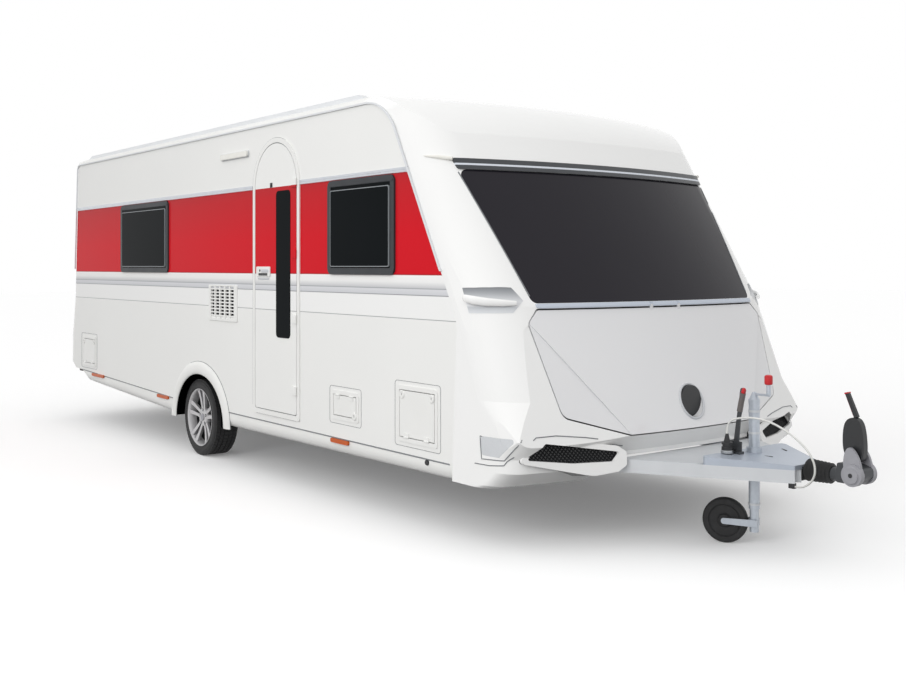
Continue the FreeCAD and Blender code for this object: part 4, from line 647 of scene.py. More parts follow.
def spoke(side, hand):
    # One bar of a pair, from the hub out to the rim, wider and further out towards the rim
    rings = []
    r0, offset0, y0 = wheel["spokeHub"]
    r1, offset1, y1 = wheel["spokeRim"]
    w0, w1 = wheel["spokeWide"]
    for i in range(9):
        t = i / 8
        r = r0 + (r1 - r0) * t
        x = hand * (offset0 + (offset1 - offset0) * t ** 1.15)
        y = y0 + (y1 - y0) * t ** 1.8
        half = (w0 + (w1 - w0) * t ** 2) / 2
        front, back = side * y, side * (y - wheel["spokeDeep"])
        rings.append([(x - half, front, r), (x + half, front, r), (x + half * 0.7, back, r),
                      (x - half * 0.7, back, r)])
    return loft(rings)


def boltShape(side, radius, corners, outerY):
    profile = [(1.165, 0.0), (1.165, radius), (outerY - 0.001, radius), (outerY, radius * 0.85),
               (outerY, 0.0)]
    vertices, faces = turned(profile, (0, 0, 0), (0, 1, 0), corners)
    return [Vector((v.x, side * v.y, v.z + wheel["boltCircle"])) for v in vertices], faces


wheelCentre = place(0, 0, tyre["radius"])


def wheelPart(key, side, segments, closed=False):
    # One of the wheel's profiles, turned about the axle
    return turned([(side * y, r) for y, r in wheel[key]], wheelCentre, (0, 1, 0), segments, closed)


def roundWheel(name, item, count, finish, body, **options):
    turn = (0, 2 * math.pi / count, 0)
    copies(name, item, count, (0, 0, 0), turn, wheelCentre, finish, body, **options)


for sideName, side in sides:
    body = "wheel_" + sideName
    section = turned(tyreSection(side), wheelCentre, (0, 1, 0), 96, closed=True)
    carcass = piece("tyre_carcass_" + sideName, [section], rubber, body, sharpAngle=50)
    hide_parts("tyre_" + sideName)
    blocks = joinShapes([treadBlock(*row, side) for row in tyre["rows"]])
    roundWheel("tyre_tread_" + sideName, blocks, tyre["blocks"], rubber, body, sharpAngle=30)
    castParts = [wheelPart("rim", side, 72, True), wheelPart("hub", side, 40)]
    castWheel = piece("cast_wheel_" + sideName, castParts, alloyAndShade, body, sharpAngle=40)
    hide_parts("wheel_" + sideName)
    pair = joinShapes([spoke(side, 1), spoke(side, -1)])
    roundWheel("wheel_spokes_" + sideName, pair, wheel["pairs"], alloyAndShade, body, bevel=0.002)
    piece("brake_drum_" + sideName, [wheelPart("drum", side, 48)], castIron, body, sharpAngle=40)
    well, head = boltShape(side, 0.0115, 24, 1.1825), boltShape(side, 0.0080, 6, 1.1845)
    roundWheel("bolt_wells_" + sideName, well, wheel["pairs"], sealRubber, body)
    roundWheel("wheel_bolts_" + sideName, head, wheel["pairs"], zincBolt, body)
    piece("wheel_cap_" + sideName, [wheelPart("cap", side, 32)], padGrey, body)

print("caravan: skirts and wheel arches")
skirt = {"foot": ((-2.709, 0.485), (-2.649, 0.410), (-0.600, 0.316), (-0.400, 0.308), (0.500, 0.308),
                  (3.466, 0.330)),
         "runs": ((-2.709, -0.400), (0.600, 3.466)), "steps": 14, "wallFoot": 0.420, "wallFootRear": 0.516,
         "kink": -0.100, "rearX": -2.985, "line": 0.0045,
         # y inwards from the wall's face, and height over the foot line
         "section": ((0.0010, None), (-0.0010, 0.075), (0.0015, 0.048), (0.0110, 0.022), (0.0270, 0.005),
                     (0.0450, 0.000), (0.0480, 0.006), (0.0290, 0.020), (0.0170, 0.050), (0.0150, None))}
arch = {"centre": (0.0985, 0.290), "inner": (0.4505, 0.386), "outer": (0.5515, 0.488), "steps": 48,
        "section": ((0.0, 0.0055), (0.0, 0.011), (0.05, 0.015), (0.22, 0.020), (0.62, 0.020), (0.88, 0.012),
                    (1.0, 0.001), (1.0, -0.004), (0.14, -0.004), (0.14, 0.0055)),
        "liner": (0.060, 0.460, 0.385), "linerY": (1.246, 0.995),
        # the wall's own opening: from and to, top and corner radius. Then the painted shadow band: its depths
        # out from the wall, and the x it reaches towards
        "wall": (-0.398, 0.498, 0.682, 0.330), "lip": (0.0008, 0.0055), "lipAim": 0.05}


def archPoint(half, i, grow=0.0, centreX=arch["centre"][0]):
    # A point of the half ellipse with these half axes over the wheel, i steps back from its front end
    angle = math.pi * i / arch["steps"]
    x, z = (half[0] + grow) * math.cos(angle), (half[1] + grow) * math.sin(angle)
    return centreX + x, arch["centre"][1] + z


def onWall(outline, out=0.0, side=-1):
    # An outline of (x, z) points, so far out from a side wall's face
    return [place(x, side * (wallY + out), z) for x, z in outline]


def wallPlate(outline, out, thick, side=-1):
    return prism(onWall(outline, out, side), (0, side * thick, 0))


def lineAt(points, x):
    for (x0, z0), (x1, z1) in zip(points, points[1:]):
        if x <= x1:
            return z0 + (z1 - z0) * (x - x0) / (x1 - x0)
    return points[-1][1]


def wallFootAt(x):
    share = (skirt["kink"] - x) / (skirt["kink"] - skirt["rearX"])
    return skirt["wallFoot"] + max(0.0, (skirt["wallFootRear"] - skirt["wallFoot"]) * share)


def skirtRun(x0, x1):
    rings = []
    for i in range(skirt["steps"] + 1):
        x = x0 + (x1 - x0) * i / skirt["steps"]
        foot, top = lineAt(skirt["foot"], x), wallFootAt(x) - 0.001
        heights = [top if rise is None else min(foot + rise, top) for _, rise in skirt["section"]]
        rings.append([place(x, -wallY + inset, z) for (inset, _), z in zip(skirt["section"], heights)])
    return loft(rings)


def archRing():
    rings = []
    for i in range(arch["steps"] + 1):
        inner, outer = archPoint(arch["inner"], i), archPoint(arch["outer"], i)
        ring = [(mix(inner, outer, share), out) for share, out in arch["section"]]
        rings.append([place(x, -wallY - out, z) for (x, z), out in ring])
    return loft(rings)


def inWallOpening(x, z):
    x0, x1, top, radius = arch["wall"]
    if not (x0 <= x <= x1 and z <= top):
        return False
    across = max(x0 + radius - x, x - x1 + radius, 0.0)
    rise = max(z - top + radius, 0.0)
    return math.hypot(across, rise) <= radius


def archShadowBand():
    # Painted shadow: a black band on the wall, from the trim's edge to just inside the wall's own opening
    aim = (arch["lipAim"], arch["centre"][1])
    near, far = arch["lip"]
    rings = []
    for i in range(arch["steps"] + 1):
        edge = archPoint(arch["inner"], i, 0.004)
        share = next((k / 200 for k in range(200) if inWallOpening(*mix(edge, aim, k / 200))), 0.02)
        inside = mix(edge, aim, max(share, 0.012))
        ring = ((edge, near), (edge, far), (inside, far), (inside, near))
        rings.append([place(x, -wallY - out, z) for (x, z), out in ring])
    return loft(rings)


def archLiner():
    centreX, *half = arch["liner"]
    near, far = arch["linerY"]
    rings = []
    for i in range(arch["steps"] + 1):
        ring = [(y, archPoint(half, i, grow, centreX))
                for y, grow in ((near, 0), (far, 0), (far, 0.003), (near, 0.003))]
        rings.append([place(x, -y, z) for y, (x, z) in ring])
    return loft(rings)


runs = [skirtRun(*span) for span in skirt["runs"]]
skirtPiece = piece("side_skirts", [bothSides(joinShapes(runs + [archRing()]))], whiteAbs, "caravan",
                   sharpAngle=45)
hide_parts("skirts")
piece("arch_liners_and_painted_shadow", [bothSides(joinShapes([archLiner(), archShadowBand()]))], paintedShadowBlack, "caravan",
      sharpAngle=60)
lineRuns = []
for x0, x1 in ((-2.700, -0.440), (0.600, 3.440)):
    path = [place(x0 + (x1 - x0) * i / 10, -wallY, wallFootAt(x0 + (x1 - x0) * i / 10)) for i in range(11)]
    lineRuns.append(sweep(path, skirt["line"], 8))
rimRun = [archPoint(arch["outer"], i) for i in range(30)]
lineRuns.append(sweep(onWall(rimRun, 0.0005), 0.0026, 8))
piece("skirt_joints", [bothSides(joinShapes(lineRuns))], greySealAndShadowLine, "caravan")

print("caravan: side windows")
sideWindow = {"sideInset": 0.047, "topInset": 0.065, "footInset": 0.050, "corner": 0.014,
              "skin": (0.0105, 0.0212),
              "edge": 0.005}
windowSpans = {-1: ((2.116, 2.898), (-1.617, -0.523)), 1: ((1.980, 2.898), (0.300, 1.250), (-2.300, -1.100))}
windowZ = (1.495, 2.110)
panes, edges, ridges = [], [], []
for side, spans in windowSpans.items():
    for x0, x1 in spans:
        a0, a1 = x0 + sideWindow["sideInset"], x1 - sideWindow["sideInset"]
        b0, b1 = windowZ[0] + sideWindow["footInset"], windowZ[1] - sideWindow["topInset"]
        near, far = sideWindow["skin"]
        outer = roundedRectangle(a0, a1, b0, b1, sideWindow["corner"])
        e = sideWindow["edge"]
        inner = roundedRectangle(a0 + e, a1 - e, b0 + e, b1 - e, sideWindow["corner"] - e / 2)
        panes.append(wallPlate(inner, near, far - near, side))
        edges.append(ringPlate(onWall(outer, near, side), onWall(inner, near, side),
                               (0, side * (far - near - 0.0008), 0)))
        ridge = roundedRectangle(x0 + 0.012, x1 - 0.012, windowZ[1] - 0.040, windowZ[1] - 0.030, 0.004)
        ridges.append(wallPlate(ridge, 0.0135, 0.004, side))
piece("side_window_panes", panes, smokedAcrylic, "caravan", bevel=0.001)
piece("side_window_edges", edges, frameEdge, "caravan")
piece("side_window_ridges", ridges, frameResin, "caravan", bevel=0.001)

print("caravan: silver strip over the windows")
strip = {"section": ((0.0, 2.1135), (0.006, 2.1150), (0.0085, 2.1190), (0.0085, 2.1260), (0.0065, 2.1285),
                     (0.0085, 2.1310), (0.0080, 2.1400), (0.0050, 2.1455), (0.0, 2.1465)),
         "right": ((-2.858, 1.033), (1.7245, 3.020)), "left": ((-2.858, 3.020),)}


def stripRun(x0, x1, side):
    outline = [place(x0, side * (wallY + out), z) for out, z in strip["section"]]
    return prism(outline, (x1 - x0, 0, 0))


piece("side_silver_strips", [stripRun(x0, x1, -1) for x0, x1 in strip["right"]]
      + [stripRun(x0, x1, 1) for x0, x1 in strip["left"]], anodised, "caravan", sharpAngle=40)
endCap = roundedRectangle(3.0205, 3.034, 2.111, 2.148, 0.005)
caps = wallPlate(endCap, 0.0, 0.010, 1)
piece("side_strip_caps", [bothSides(caps)], greyAbs, "caravan", bevel=0.0015)

print("caravan: door")
door = {"trimOut": 0.0095, "hook": (1.338, 2.133), "seam": 0.0036,
        # from x, to x, foot, top and the foot's corner radius
        "seal": (1.0795, 1.6975, 0.5085, 2.4325, 0.035), "frame": (1.0310, 1.7260, 0.4715, 2.4700, 0.060)}
doorFace = -wallY - door["trimOut"]


def doorway(x0, x1, foot, top, radius):
    # An outline with round corners at its foot and a half circle on top
    points = []
    for x, hand, angles in ((x0, 1, range(90, -1, -15)), (x1, -1, range(0, 91, 15))):
        for a in angles:
            points.append((x + hand * radius * (1 - math.sin(math.radians(a))),
                           foot + radius * (1 - math.cos(math.radians(a)))))
    middle, half = (x0 + x1) / 2, (x1 - x0) / 2
    return points + [(middle + half * math.cos(math.radians(a)),
                      top - half + half * math.sin(math.radians(a)))
                     for a in range(0, 181, 6)]


def wallSeam(outline, out, radius, sides=8):
    return sweep(onWall(outline, out), radius, sides, closed=True)


piece("door_seal", [wallSeam(doorway(*door["seal"]), 0.001, door["seam"])], greySealAndShadowLine, "caravan")
hookX, hookZ = door["hook"]
hook = [box(place(hookX - 0.018, doorFace - 0.006, hookZ - 0.016),
            place(hookX + 0.010, doorFace, hookZ + 0.016)),
        sweep([place(hookX - 0.004, doorFace - 0.003, hookZ + 0.006),
               place(hookX - 0.004, doorFace - 0.008, hookZ),
               place(hookX - 0.004, doorFace - 0.008, hookZ - 0.020)], 0.0035, 8)]
piece("door_hook", hook, blackNylon, "door", bevel=0.001)
piece("door_frame_joint", [wallSeam(doorway(*door["frame"]), 0.0005, door["seam"])], greySealAndShadowLine, "caravan")
# Spans are from x, to x, from z, to z and the corners' radius
handle = {"plate": (1.112, 1.322, 1.473, 1.546, 0.012), "out": 0.009, "keyhole": (1.172, 1.517),
          "bar": (1.150, 1.288, 1.480, 1.499, 0.006), "lever": (1.195, 1.300, 1.503, 1.526, 0.008),
          "pull": (1.126, 1.300, 1.452, 1.464, 0.005)}
handleOut = door["trimOut"] + handle["out"]


def sidePlate(name, span, out, thick, finish, body, bevel=0.0, more=()):
    return piece(name, [wallPlate(roundedRectangle(*span), out, thick), *more], finish, body, bevel=bevel)


handlePlate = sidePlate("door_handle_plate", handle["plate"], door["trimOut"], handle["out"], whiteAbs,
                        "door", 0.002)
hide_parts("door_handle")
keyhole = turned([(0.0, 0.0), (0.0, 0.0095), (0.0015, 0.009), (0.002, 0.0)],
                 place(handle["keyhole"][0], -wallY - handleOut, handle["keyhole"][1]), (0, -1, 0), 20)
sidePlate("door_handle_recess", handle["bar"], handleOut - 0.0006, 0.0012, blackNylon, "door", more=[keyhole])
sidePlate("door_handle_lever", handle["lever"], handleOut, 0.003, greyAbs, "door", 0.001)
sidePlate("door_pull_rim", handle["pull"], door["trimOut"], 0.004, greyAbs, "door", 0.0012)

print("caravan: flap locks, vent and small fittings on the side")
lock = turned([(0.0, 0.0), (0.0, 0.026), (0.003, 0.0255), (0.0055, 0.022), (0.0055, 0.013), (0.0035, 0.012),
               (0.0035, 0.0)], (0, 0, 0), (0, -1, 0), 32)
lockFace = -wallY - 0.005
flapLocks = {"front_hatch": ((2.974, 0.778), (3.275, 0.778)),
             "rear_hatch": ((-2.640, 0.800), (-2.360, 0.800)),
             "filler_flap": ((2.440, 0.585),)}
slot = box((-0.0015, -0.0042, -0.007), (0.0015, -0.0030, 0.007))
for body, spots in flapLocks.items():
    for number, (x, z) in enumerate(spots):
        centre = place(x, lockFace, z)
        piece(f"{body}_lock_{number}", [([v + centre for v in lock[0]], lock[1])], whiteAbs, body)
        piece(f"{body}_key_slot_{number}", [([v + centre for v in slot[0]], slot[1])], sealRubber, body)
vent = {"x": (0.278, 0.775), "z": (1.122, 1.403), "out": 0.008, "openX": (0.318, 0.722),
        "openZ": (1.142, 1.392),
        "columns": 5, "rows": 10, "post": 0.021, "slat": 0.0095}
ventOuter = roundedRectangle(*vent["x"], *vent["z"], 0.010)
ventInner = roundedRectangle(*vent["openX"], *vent["openZ"], 0.002)
ventFace = -wallY - vent["out"]
ventFrame = ringPlate(onWall(ventOuter, vent["out"]), onWall(ventInner, vent["out"]),
                      (0, vent["out"] + 0.020, 0))
ventPiece = piece("vent_frame", [ventFrame], whiteAbs, "caravan", bevel=0.0015)
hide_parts("vent_grille")
# A black plate behind the vent's slats: painted shade in its openings
back = box(place(vent["openX"][0] - 0.010, -wallY + 0.012, vent["openZ"][0] - 0.006),
           place(vent["openX"][1] + 0.010, -wallY + 0.018, vent["openZ"][1] + 0.006))
piece("vent_shade", [back], blackGrilleAndShade, "caravan")
columnStep = (vent["openX"][1] - vent["openX"][0] + vent["post"]) / vent["columns"]
rowStep = (vent["openZ"][1] - vent["openZ"][0] + vent["slat"]) / vent["rows"]
post = box((-vent["post"] / 2, 0.001, vent["openZ"][0]), (vent["post"] / 2, 0.013, vent["openZ"][1]))
firstPost = place(vent["openX"][0] + columnStep - vent["post"] / 2, ventFace, 0)
copies("vent_posts", post, vent["columns"] - 1, (columnStep, 0, 0), (0, 0, 0), firstPost, whiteAbs, "caravan")
slat = prism([(vent["openX"][0], 0.0015, -vent["slat"] / 2), (vent["openX"][0], 0.0035, vent["slat"] / 2),
              (vent["openX"][0], 0.0125, vent["slat"] / 2), (vent["openX"][0], 0.0105, -vent["slat"] / 2)],
             (vent["openX"][1] - vent["openX"][0], 0, 0))
firstSlat = Vector((axleX, ventFace, vent["openZ"][0] + rowStep - vent["slat"] / 2))
copies("vent_slats", slat, vent["rows"] - 1, (0, 0, rowStep), (0, 0, 0), firstSlat, whiteAbs, "caravan")
peg = turned([(0.0, 0.0), (0.0, 0.018), (0.008, 0.016), (0.010, 0.0)], place(3.226, -wallY, 0.402),
             (0, -1, 0), 24)
piece("jack_point_plug", [peg], sealRubber, "caravan")
# Painted shadow lines round the flaps' frames
flapShadowLines = []
flapSpans = ((2.893, 3.356, 0.468, 0.859), (-2.720, -2.280, 0.533, 0.878), (2.129, 2.513, 0.517, 0.761))
for span in flapSpans:
    flapShadowLines.append(wallSeam(roundedRectangle(*span, 0.022), 0.0004, 0.0016, 6))
piece("flap_frame_shadow_lines", flapShadowLines, greySealAndShadowLine, "caravan")
sidePlate("porch_lamp_base", (0.500, 0.969, 2.366, 2.418, 0.018), 0.0, 0.007, greyAbs, "caravan", 0.001)
sidePlate("porch_lamp_glass", (0.510, 0.959, 2.374, 2.410, 0.015), 0.0175, 0.003, whiteLens, "caravan",
          0.0012)

print("caravan: nose fittings")
windowSeal = {"top": (1.084, 2.102), "foot": (0.953, 1.360), "radius": 0.004, "steps": 40}
sealShapes = []
for side in (-1, 1):
    ends = [(side * windowSeal[end][0], windowSeal[end][1]) for end in ("top", "foot")]
    path = [onNose(*mix(*ends, i / windowSeal["steps"])) for i in range(windowSeal["steps"])]
    sealShapes.append(sweep(path, windowSeal["radius"], 8))
piece("front_window_seals", sealShapes, greySealAndShadowLine, "caravan", sharpAngle=60)

latch = {"z": 0.758, "radius": 0.097, "ring": 0.0075}
circle = [math.radians(a) for a in range(0, 360, 5)]
ringPath = [onNose(latch["radius"] * math.cos(a), latch["z"] + latch["radius"] * math.sin(a), 0.001)
            for a in circle]
piece("latch_ring", [sweep(ringPath, latch["ring"], 10, closed=True)], greyAbs, "locker_lid")

cornerParts = bmesh.new()
cornerParts.from_mesh(nodes["end_lamps"].data)
bmesh.ops.remove_doubles(cornerParts, verts=cornerParts.verts, dist=1e-6)


def lampSolids(wanted):
    # The node's separate solids whose middle passes the test, as a list of shapes
    seen, kept = set(), []
    for start in cornerParts.verts:
        if start in seen:
            continue
        group, queue = [], [start]
        seen.add(start)
        while queue:
            vertex = queue.pop()
            group.append(vertex)
            for edge in vertex.link_edges:
                other = edge.other_vert(vertex)
                if other not in seen:
                    seen.add(other)
                    queue.append(other)
        middle = sum((v.co for v in group), Vector()) / len(group)
        if wanted(middle):
            number = {v: i for i, v in enumerate(group)}
            faces = {face for v in group for face in v.link_faces}
            kept.append(([v.co.copy() for v in group],
                         sorted([number[v] for v in face.verts] for face in faces)))
    return kept


cornerLens = lampSolids(lambda p: p.x > 2.0 and p.z < 1.0)
tailLens = lampSolids(lambda p: p.x < -2.0)
cornerParts.free()
lensPiece = piece("corner_lamp_lenses", cornerLens, clearLens, "caravan")
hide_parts("end_lamps")
fin = {"from": (3.268, 1.096, 2.184), "to": (3.130, 1.212, 2.204), "thick": 0.0125}


def spindle(start, end, thick):
    # A round bar that tapers to both ends
    start, end = Vector(start), Vector(end)
    length = (end - start).length
    profile = [(0.0, 0.0)]
    for t in (i / 12 for i in range(13)):
        swell = math.sin(math.pi * min(1.0, 0.28 + 0.72 * t)) ** 0.7
        profile.append((t * length, max(thick * swell, 0.0008)))
    return turned(profile + [(length, 0.0)], start, end - start, 20)


finStart, finEnd = place(*fin["from"]), place(*fin["to"])
piece("fin_lamps", [bothSides(spindle(finStart, finEnd, fin["thick"]))], whiteLens, "caravan", sharpAngle=60)
piece("rear_lamp_lenses", tailLens, redLens, "caravan")
bowls = [([v + Vector((-0.027, -0.020 if v.y > 0 else 0.020, 0)) for v in vertices], faces)
         for vertices, faces in cornerLens]
piece("corner_lamp_bowls", bowls, reflector, "caravan")

# The grille in the horn's pocket: a sheet cut along two slanting sets of lines, then made a lattice
grille = {"outline": ((-1.160, 0.510), (-1.062, 0.594), (-0.624, 0.527), (-0.674, 0.478), (-0.900, 0.480)),
          "depth": 0.017, "pitch": 0.016, "bar": 0.0045, "slope": 1.1}


def hornPoint(y, z, back):
    tipX, tipY, tipZ = horn["tip"]
    return place(tipX + horn["turn"] * (abs(y) - tipY) + horn["lean"] * (z - tipZ) - back, y, z)


lattice = bmesh.new()
lattice.faces.new([lattice.verts.new(hornPoint(y, z, grille["depth"])) for y, z in grille["outline"]])
for direction in (-1, 1):
    normal = Vector((0, direction * grille["slope"], 1)).normalized()
    for step in range(-90, 91):
        point = Vector((0, -0.9, 0.52)) + normal * step * grille["pitch"]
        bmesh.ops.bisect_plane(lattice, geom=lattice.verts[:] + lattice.edges[:] + lattice.faces[:],
                               dist=1e-6, plane_co=point, plane_no=normal)
latticeMesh = bpy.data.meshes.new("horn_lattice")
lattice.to_mesh(latticeMesh)
lattice.free()
latticeSource = addObject("horn_lattice_source", latticeMesh)
wires = latticeSource.modifiers.new("bars", "WIREFRAME")
wires.thickness = grille["bar"]
piece("horn_grilles", [bothSides(shapeOf(applied(latticeSource)))], blackGrilleAndShade, "caravan", sharpAngle=20)

print("caravan: grab handles")
grab = {"top": ((3.537, -1.234, 1.427), (3.600, -1.205, 1.428), (3.672, -1.140, 1.428),
                (3.737, -1.046, 1.428)),
        "foot": ((3.600, -1.236, 1.286), (3.655, -1.222, 1.287), (3.735, -1.165, 1.288),
                 (3.798, -1.081, 1.289)),
        "columns": 14, "rows": 6, "proud": 0.0015,
        "bar": ((3.560, -1.244, 1.374), (3.590, -1.252, 1.368), (3.640, -1.242, 1.360),
                (3.705, -1.196, 1.350), (3.765, -1.130, 1.345), (3.806, -1.064, 1.343)),
        "barSize": (0.012, 0.025)}


def along3d(points, t):
    spot = t * (len(points) - 1)
    i = min(int(spot), len(points) - 2)
    return Vector(points[i]).lerp(Vector(points[i + 1]), spot - i)


def onCorner(point, out):
    hit, normal = noseSkin.find_nearest(place(*point))[:2]
    away = normal if normal.dot(Vector((1, -1, 0))) > 0 else -normal
    return hit + away * out


def grabRecess():
    vertices, faces = [], []
    columns, rows = grab["columns"], grab["rows"]
    for out in (grab["proud"], -0.002):
        for i in range(columns + 1):
            for j in range(rows + 1):
                spot = along3d(grab["top"], i / columns).lerp(along3d(grab["foot"], i / columns), j / rows)
                point = (1 - abs(2 * j / rows - 1)) * max(0.0, i / columns - 0.6) / 0.4
                vertices.append(onCorner(spot + Vector((0.033, 0.056, 0)) * point, out))
    layer = (columns + 1) * (rows + 1)
    for loop in ringFaces(columns + 1, rows + 1, False, False):
        faces += [loop, [k + layer for k in loop[::-1]]]
    rim = list(range(rows + 1)) + [i * (rows + 1) + rows for i in range(1, columns + 1)]
    rim += [columns * (rows + 1) + j for j in range(rows - 1, -1, -1)]
    rim += [i * (rows + 1) for i in range(columns - 1, 0, -1)]
    for a, b in zip(rim, rim[1:] + rim[:1]):
        faces.append([b, a, a + layer, b + layer])
    return vertices, faces


def grabBar():
    rings = []
    across, tall = grab["barSize"]
    for i in range(25):
        t = i / 24
        spot = place(*along3d(grab["bar"], t))
        before, after = along3d(grab["bar"], max(0.0, t - 0.02)), along3d(grab["bar"], min(1.0, t + 0.02))
        ahead = (after - before).normalized()
        outward = ahead.cross(Vector((0, 0, 1))).normalized()
        size = 0.55 + 0.45 * math.sin(math.pi * min(1.0, 0.1 + 0.9 * t))
        wide, high = outward * (across * size), Vector((0, 0, tall * size))
        angles = [2 * math.pi * k / 12 for k in range(12)]
        rings.append([spot + wide * math.cos(a) + high * math.sin(a) for a in angles])
    return loft(rings)


# A thin plate on the nose's corner, painted with the shade of the hollow behind each bar
piece("grab_recess_shading", [bothSides(grabRecess())], grabRecessShade, "caravan", sharpAngle=60)


def cornerLine(points, radius, closed, count=8, out=0.0005):
    # A grey line on the nose's corner through points given as (x, y, z)
    path = []
    pairs = list(zip(points, points[1:] + points[:1])) if closed else list(zip(points, points[1:]))
    for a, b in pairs:
        path += [onCorner(Vector(a).lerp(Vector(b), i / count), out) for i in range(count)]
    return sweep(path, radius, 8, closed)


# A painted shadow line along the top of the bezel round the corner, and a grey outline round the corner lamp
bezelShadowLine = [(3.671, -1.250, 0.462), (3.800, -1.248, 0.466), (3.905, -1.236, 0.480), (3.923, -1.232, 0.502),
             (4.027, -1.118, 0.632), (4.062, -1.000, 0.638), (4.103, -0.821, 0.616), (4.115, -0.522, 0.545)]
lampLine = [(3.716, -1.250, 0.617), (4.016, -1.204, 0.627), (3.909, -1.238, 0.506), (3.730, -1.250, 0.494)]
piece("bezel_shadow_line_and_lamp_outline",
      [bothSides(joinShapes([cornerLine(bezelShadowLine, 0.003, False), cornerLine(lampLine, 0.003, True)]))],
      greySealAndShadowLine, "caravan", sharpAngle=60)
grabPiece = piece("grab_bars", [bothSides(grabBar())], gelcoat, "caravan", sharpAngle=60)
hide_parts("grab_handles")

print("caravan: drawbar fittings")
slots = {"spots": ((4.640, 0.200, -0.5), (4.700, -0.030, 0.2)),
         "span": (-0.030, 0.030, -0.006, 0.006, 0.0055),
         "coverTop": ((4.510, 0.526), (4.929, 0.499)), "sunk": 0.0015, "thick": 0.0021}
coverSlots = []
for x, y, turnBy in slots["spots"]:
    c, s = math.cos(turnBy), math.sin(turnBy)
    z = lineAt(slots["coverTop"], x) - slots["sunk"]
    outline = [place(x + a * c - b * s, y + a * s + b * c, z) for a, b in roundedRectangle(*slots["span"])]
    coverSlots.append(prism(outline, (0, 0, slots["thick"])))
piece("cover_slots", coverSlots, blackNylon, "caravan")
jockeyTop = {
    "x": 4.588, "topZ": 0.789, "bandZ": (0.620, 0.740, 0.225), "knob": (4.683, 0.0, 0.899),
    # profiles of (height, radius)
    "knobShape": ((0.0, 0.0), (0.0, 0.0185), (0.003, 0.0215), (0.010, 0.0225), (0.044, 0.0225),
                  (0.050, 0.0200), (0.0535, 0.0120), (0.054, 0.0)),
    "topShape": ((0.0, 0.0), (0.0, 0.0315), (0.020, 0.0315), (0.028, 0.0250), (0.046, 0.0170),
                 (0.060, 0.0110), (0.064, 0.0)),
    "bandShape": ((0.0, 0.0302), (0.0, 0.0330), (0.012, 0.0330), (0.012, 0.0302)),
}
upward = (0, 0, 1)
knob = turned(jockeyTop["knobShape"], place(*jockeyTop["knob"]), upward, 28)
piece("crank_knob", [knob], redPlastic, "caravan")
tubeTop = turned(jockeyTop["topShape"], place(jockeyTop["x"], 0, jockeyTop["topZ"]), upward, 36)
piece("jockey_tube_top", [tubeTop], galvanised, "caravan")
tubeBands = [turned(jockeyTop["bandShape"], place(jockeyTop["x"], 0, z), upward, 36, closed=True)
             for z in jockeyTop["bandZ"]]
piece("jockey_tube_bands", tubeBands, paleSteel, "caravan")
leverTip = turned([(0.0, 0.0), (0.0, 0.011), (0.004, 0.0125), (0.024, 0.0115), (0.031, 0.006), (0.032, 0.0)],
                  place(4.6035, -0.117, 0.852), (0.25, 0, 1), 20)
piece("handbrake_button", [leverTip], redPlastic, "caravan")
leverGrip = [sweep([place(4.580, -0.117, 0.752), place(4.590, -0.117, 0.800), place(4.6035, -0.117, 0.854)],
                   0.0160, 16)]
piece("handbrake_grip", leverGrip, gripGrey, "caravan", sharpAngle=60)

# The coupling's handle: a rounded body with a slim lever leaning back from its top
lever = {"body": ((5.152, 0.600), (5.150, 0.700), (5.166, 0.762), (5.212, 0.782), (5.250, 0.762),
                  (5.268, 0.690), (5.272, 0.575), (5.235, 0.548), (5.190, 0.548)), "half": 0.024,
         "neck": ((5.212, 0.770), (5.232, 0.782), (5.176, 0.905), (5.156, 0.899)), "neckHalf": 0.012}


def smoothLoop(points, rounds=3):
    # Corner cutting turns a few corner points into a round outline
    for _ in range(rounds):
        cut = []
        for (ax, az), (bx, bz) in zip(points, points[1:] + points[:1]):
            cut += [(ax * 0.75 + bx * 0.25, az * 0.75 + bz * 0.25),
                    (ax * 0.25 + bx * 0.75, az * 0.25 + bz * 0.75)]
        points = cut
    return points


bodyLine = smoothLoop(list(lever["body"]))
handleBody = prism([place(x, -lever["half"], z) for x, z in bodyLine], (0, 2 * lever["half"], 0))
handlePiece = piece("coupling_lever_body", [handleBody], blackNylon, "caravan", bevel=0.007)
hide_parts("coupling_handle")
neck = prism([place(x, -lever["neckHalf"], z) for x, z in lever["neck"]], (0, 2 * lever["neckHalf"], 0))
piece("coupling_lever_neck", [neck], blackNylon, "caravan", bevel=0.004)
stripe = [(5.20338, 0.78548), (5.20588, 0.78598), (5.157, 0.900), (5.1545, 0.899)]
stripeShape = prism([place(x, -0.0075, z) for x, z in stripe], (0, 0.015, 0))
piece("coupling_lever_stripe", [stripeShape], redPlastic, "caravan")
tip = [(5.1555, 0.8985), (5.1765, 0.9048), (5.1790, 0.8990), (5.1580, 0.8925)]
tipShape = prism([place(x, -0.0128, z) for x, z in tip], (0, 0.0256, 0))
piece("coupling_lever_tip", [tipShape], redPlastic, "caravan")
jawZ = 0.492
dome = ((0.0, 0.0), (0.0, 0.0560), (0.004, 0.0565), (0.014, 0.0515), (0.022, 0.0400), (0.026, 0.0240),
        (0.0265, 0.0))
arm = smoothLoop([(5.176, 0.500), (5.180, 0.600), (5.215, 0.640), (5.262, 0.590), (5.286, 0.500),
                  (5.233, 0.445)])
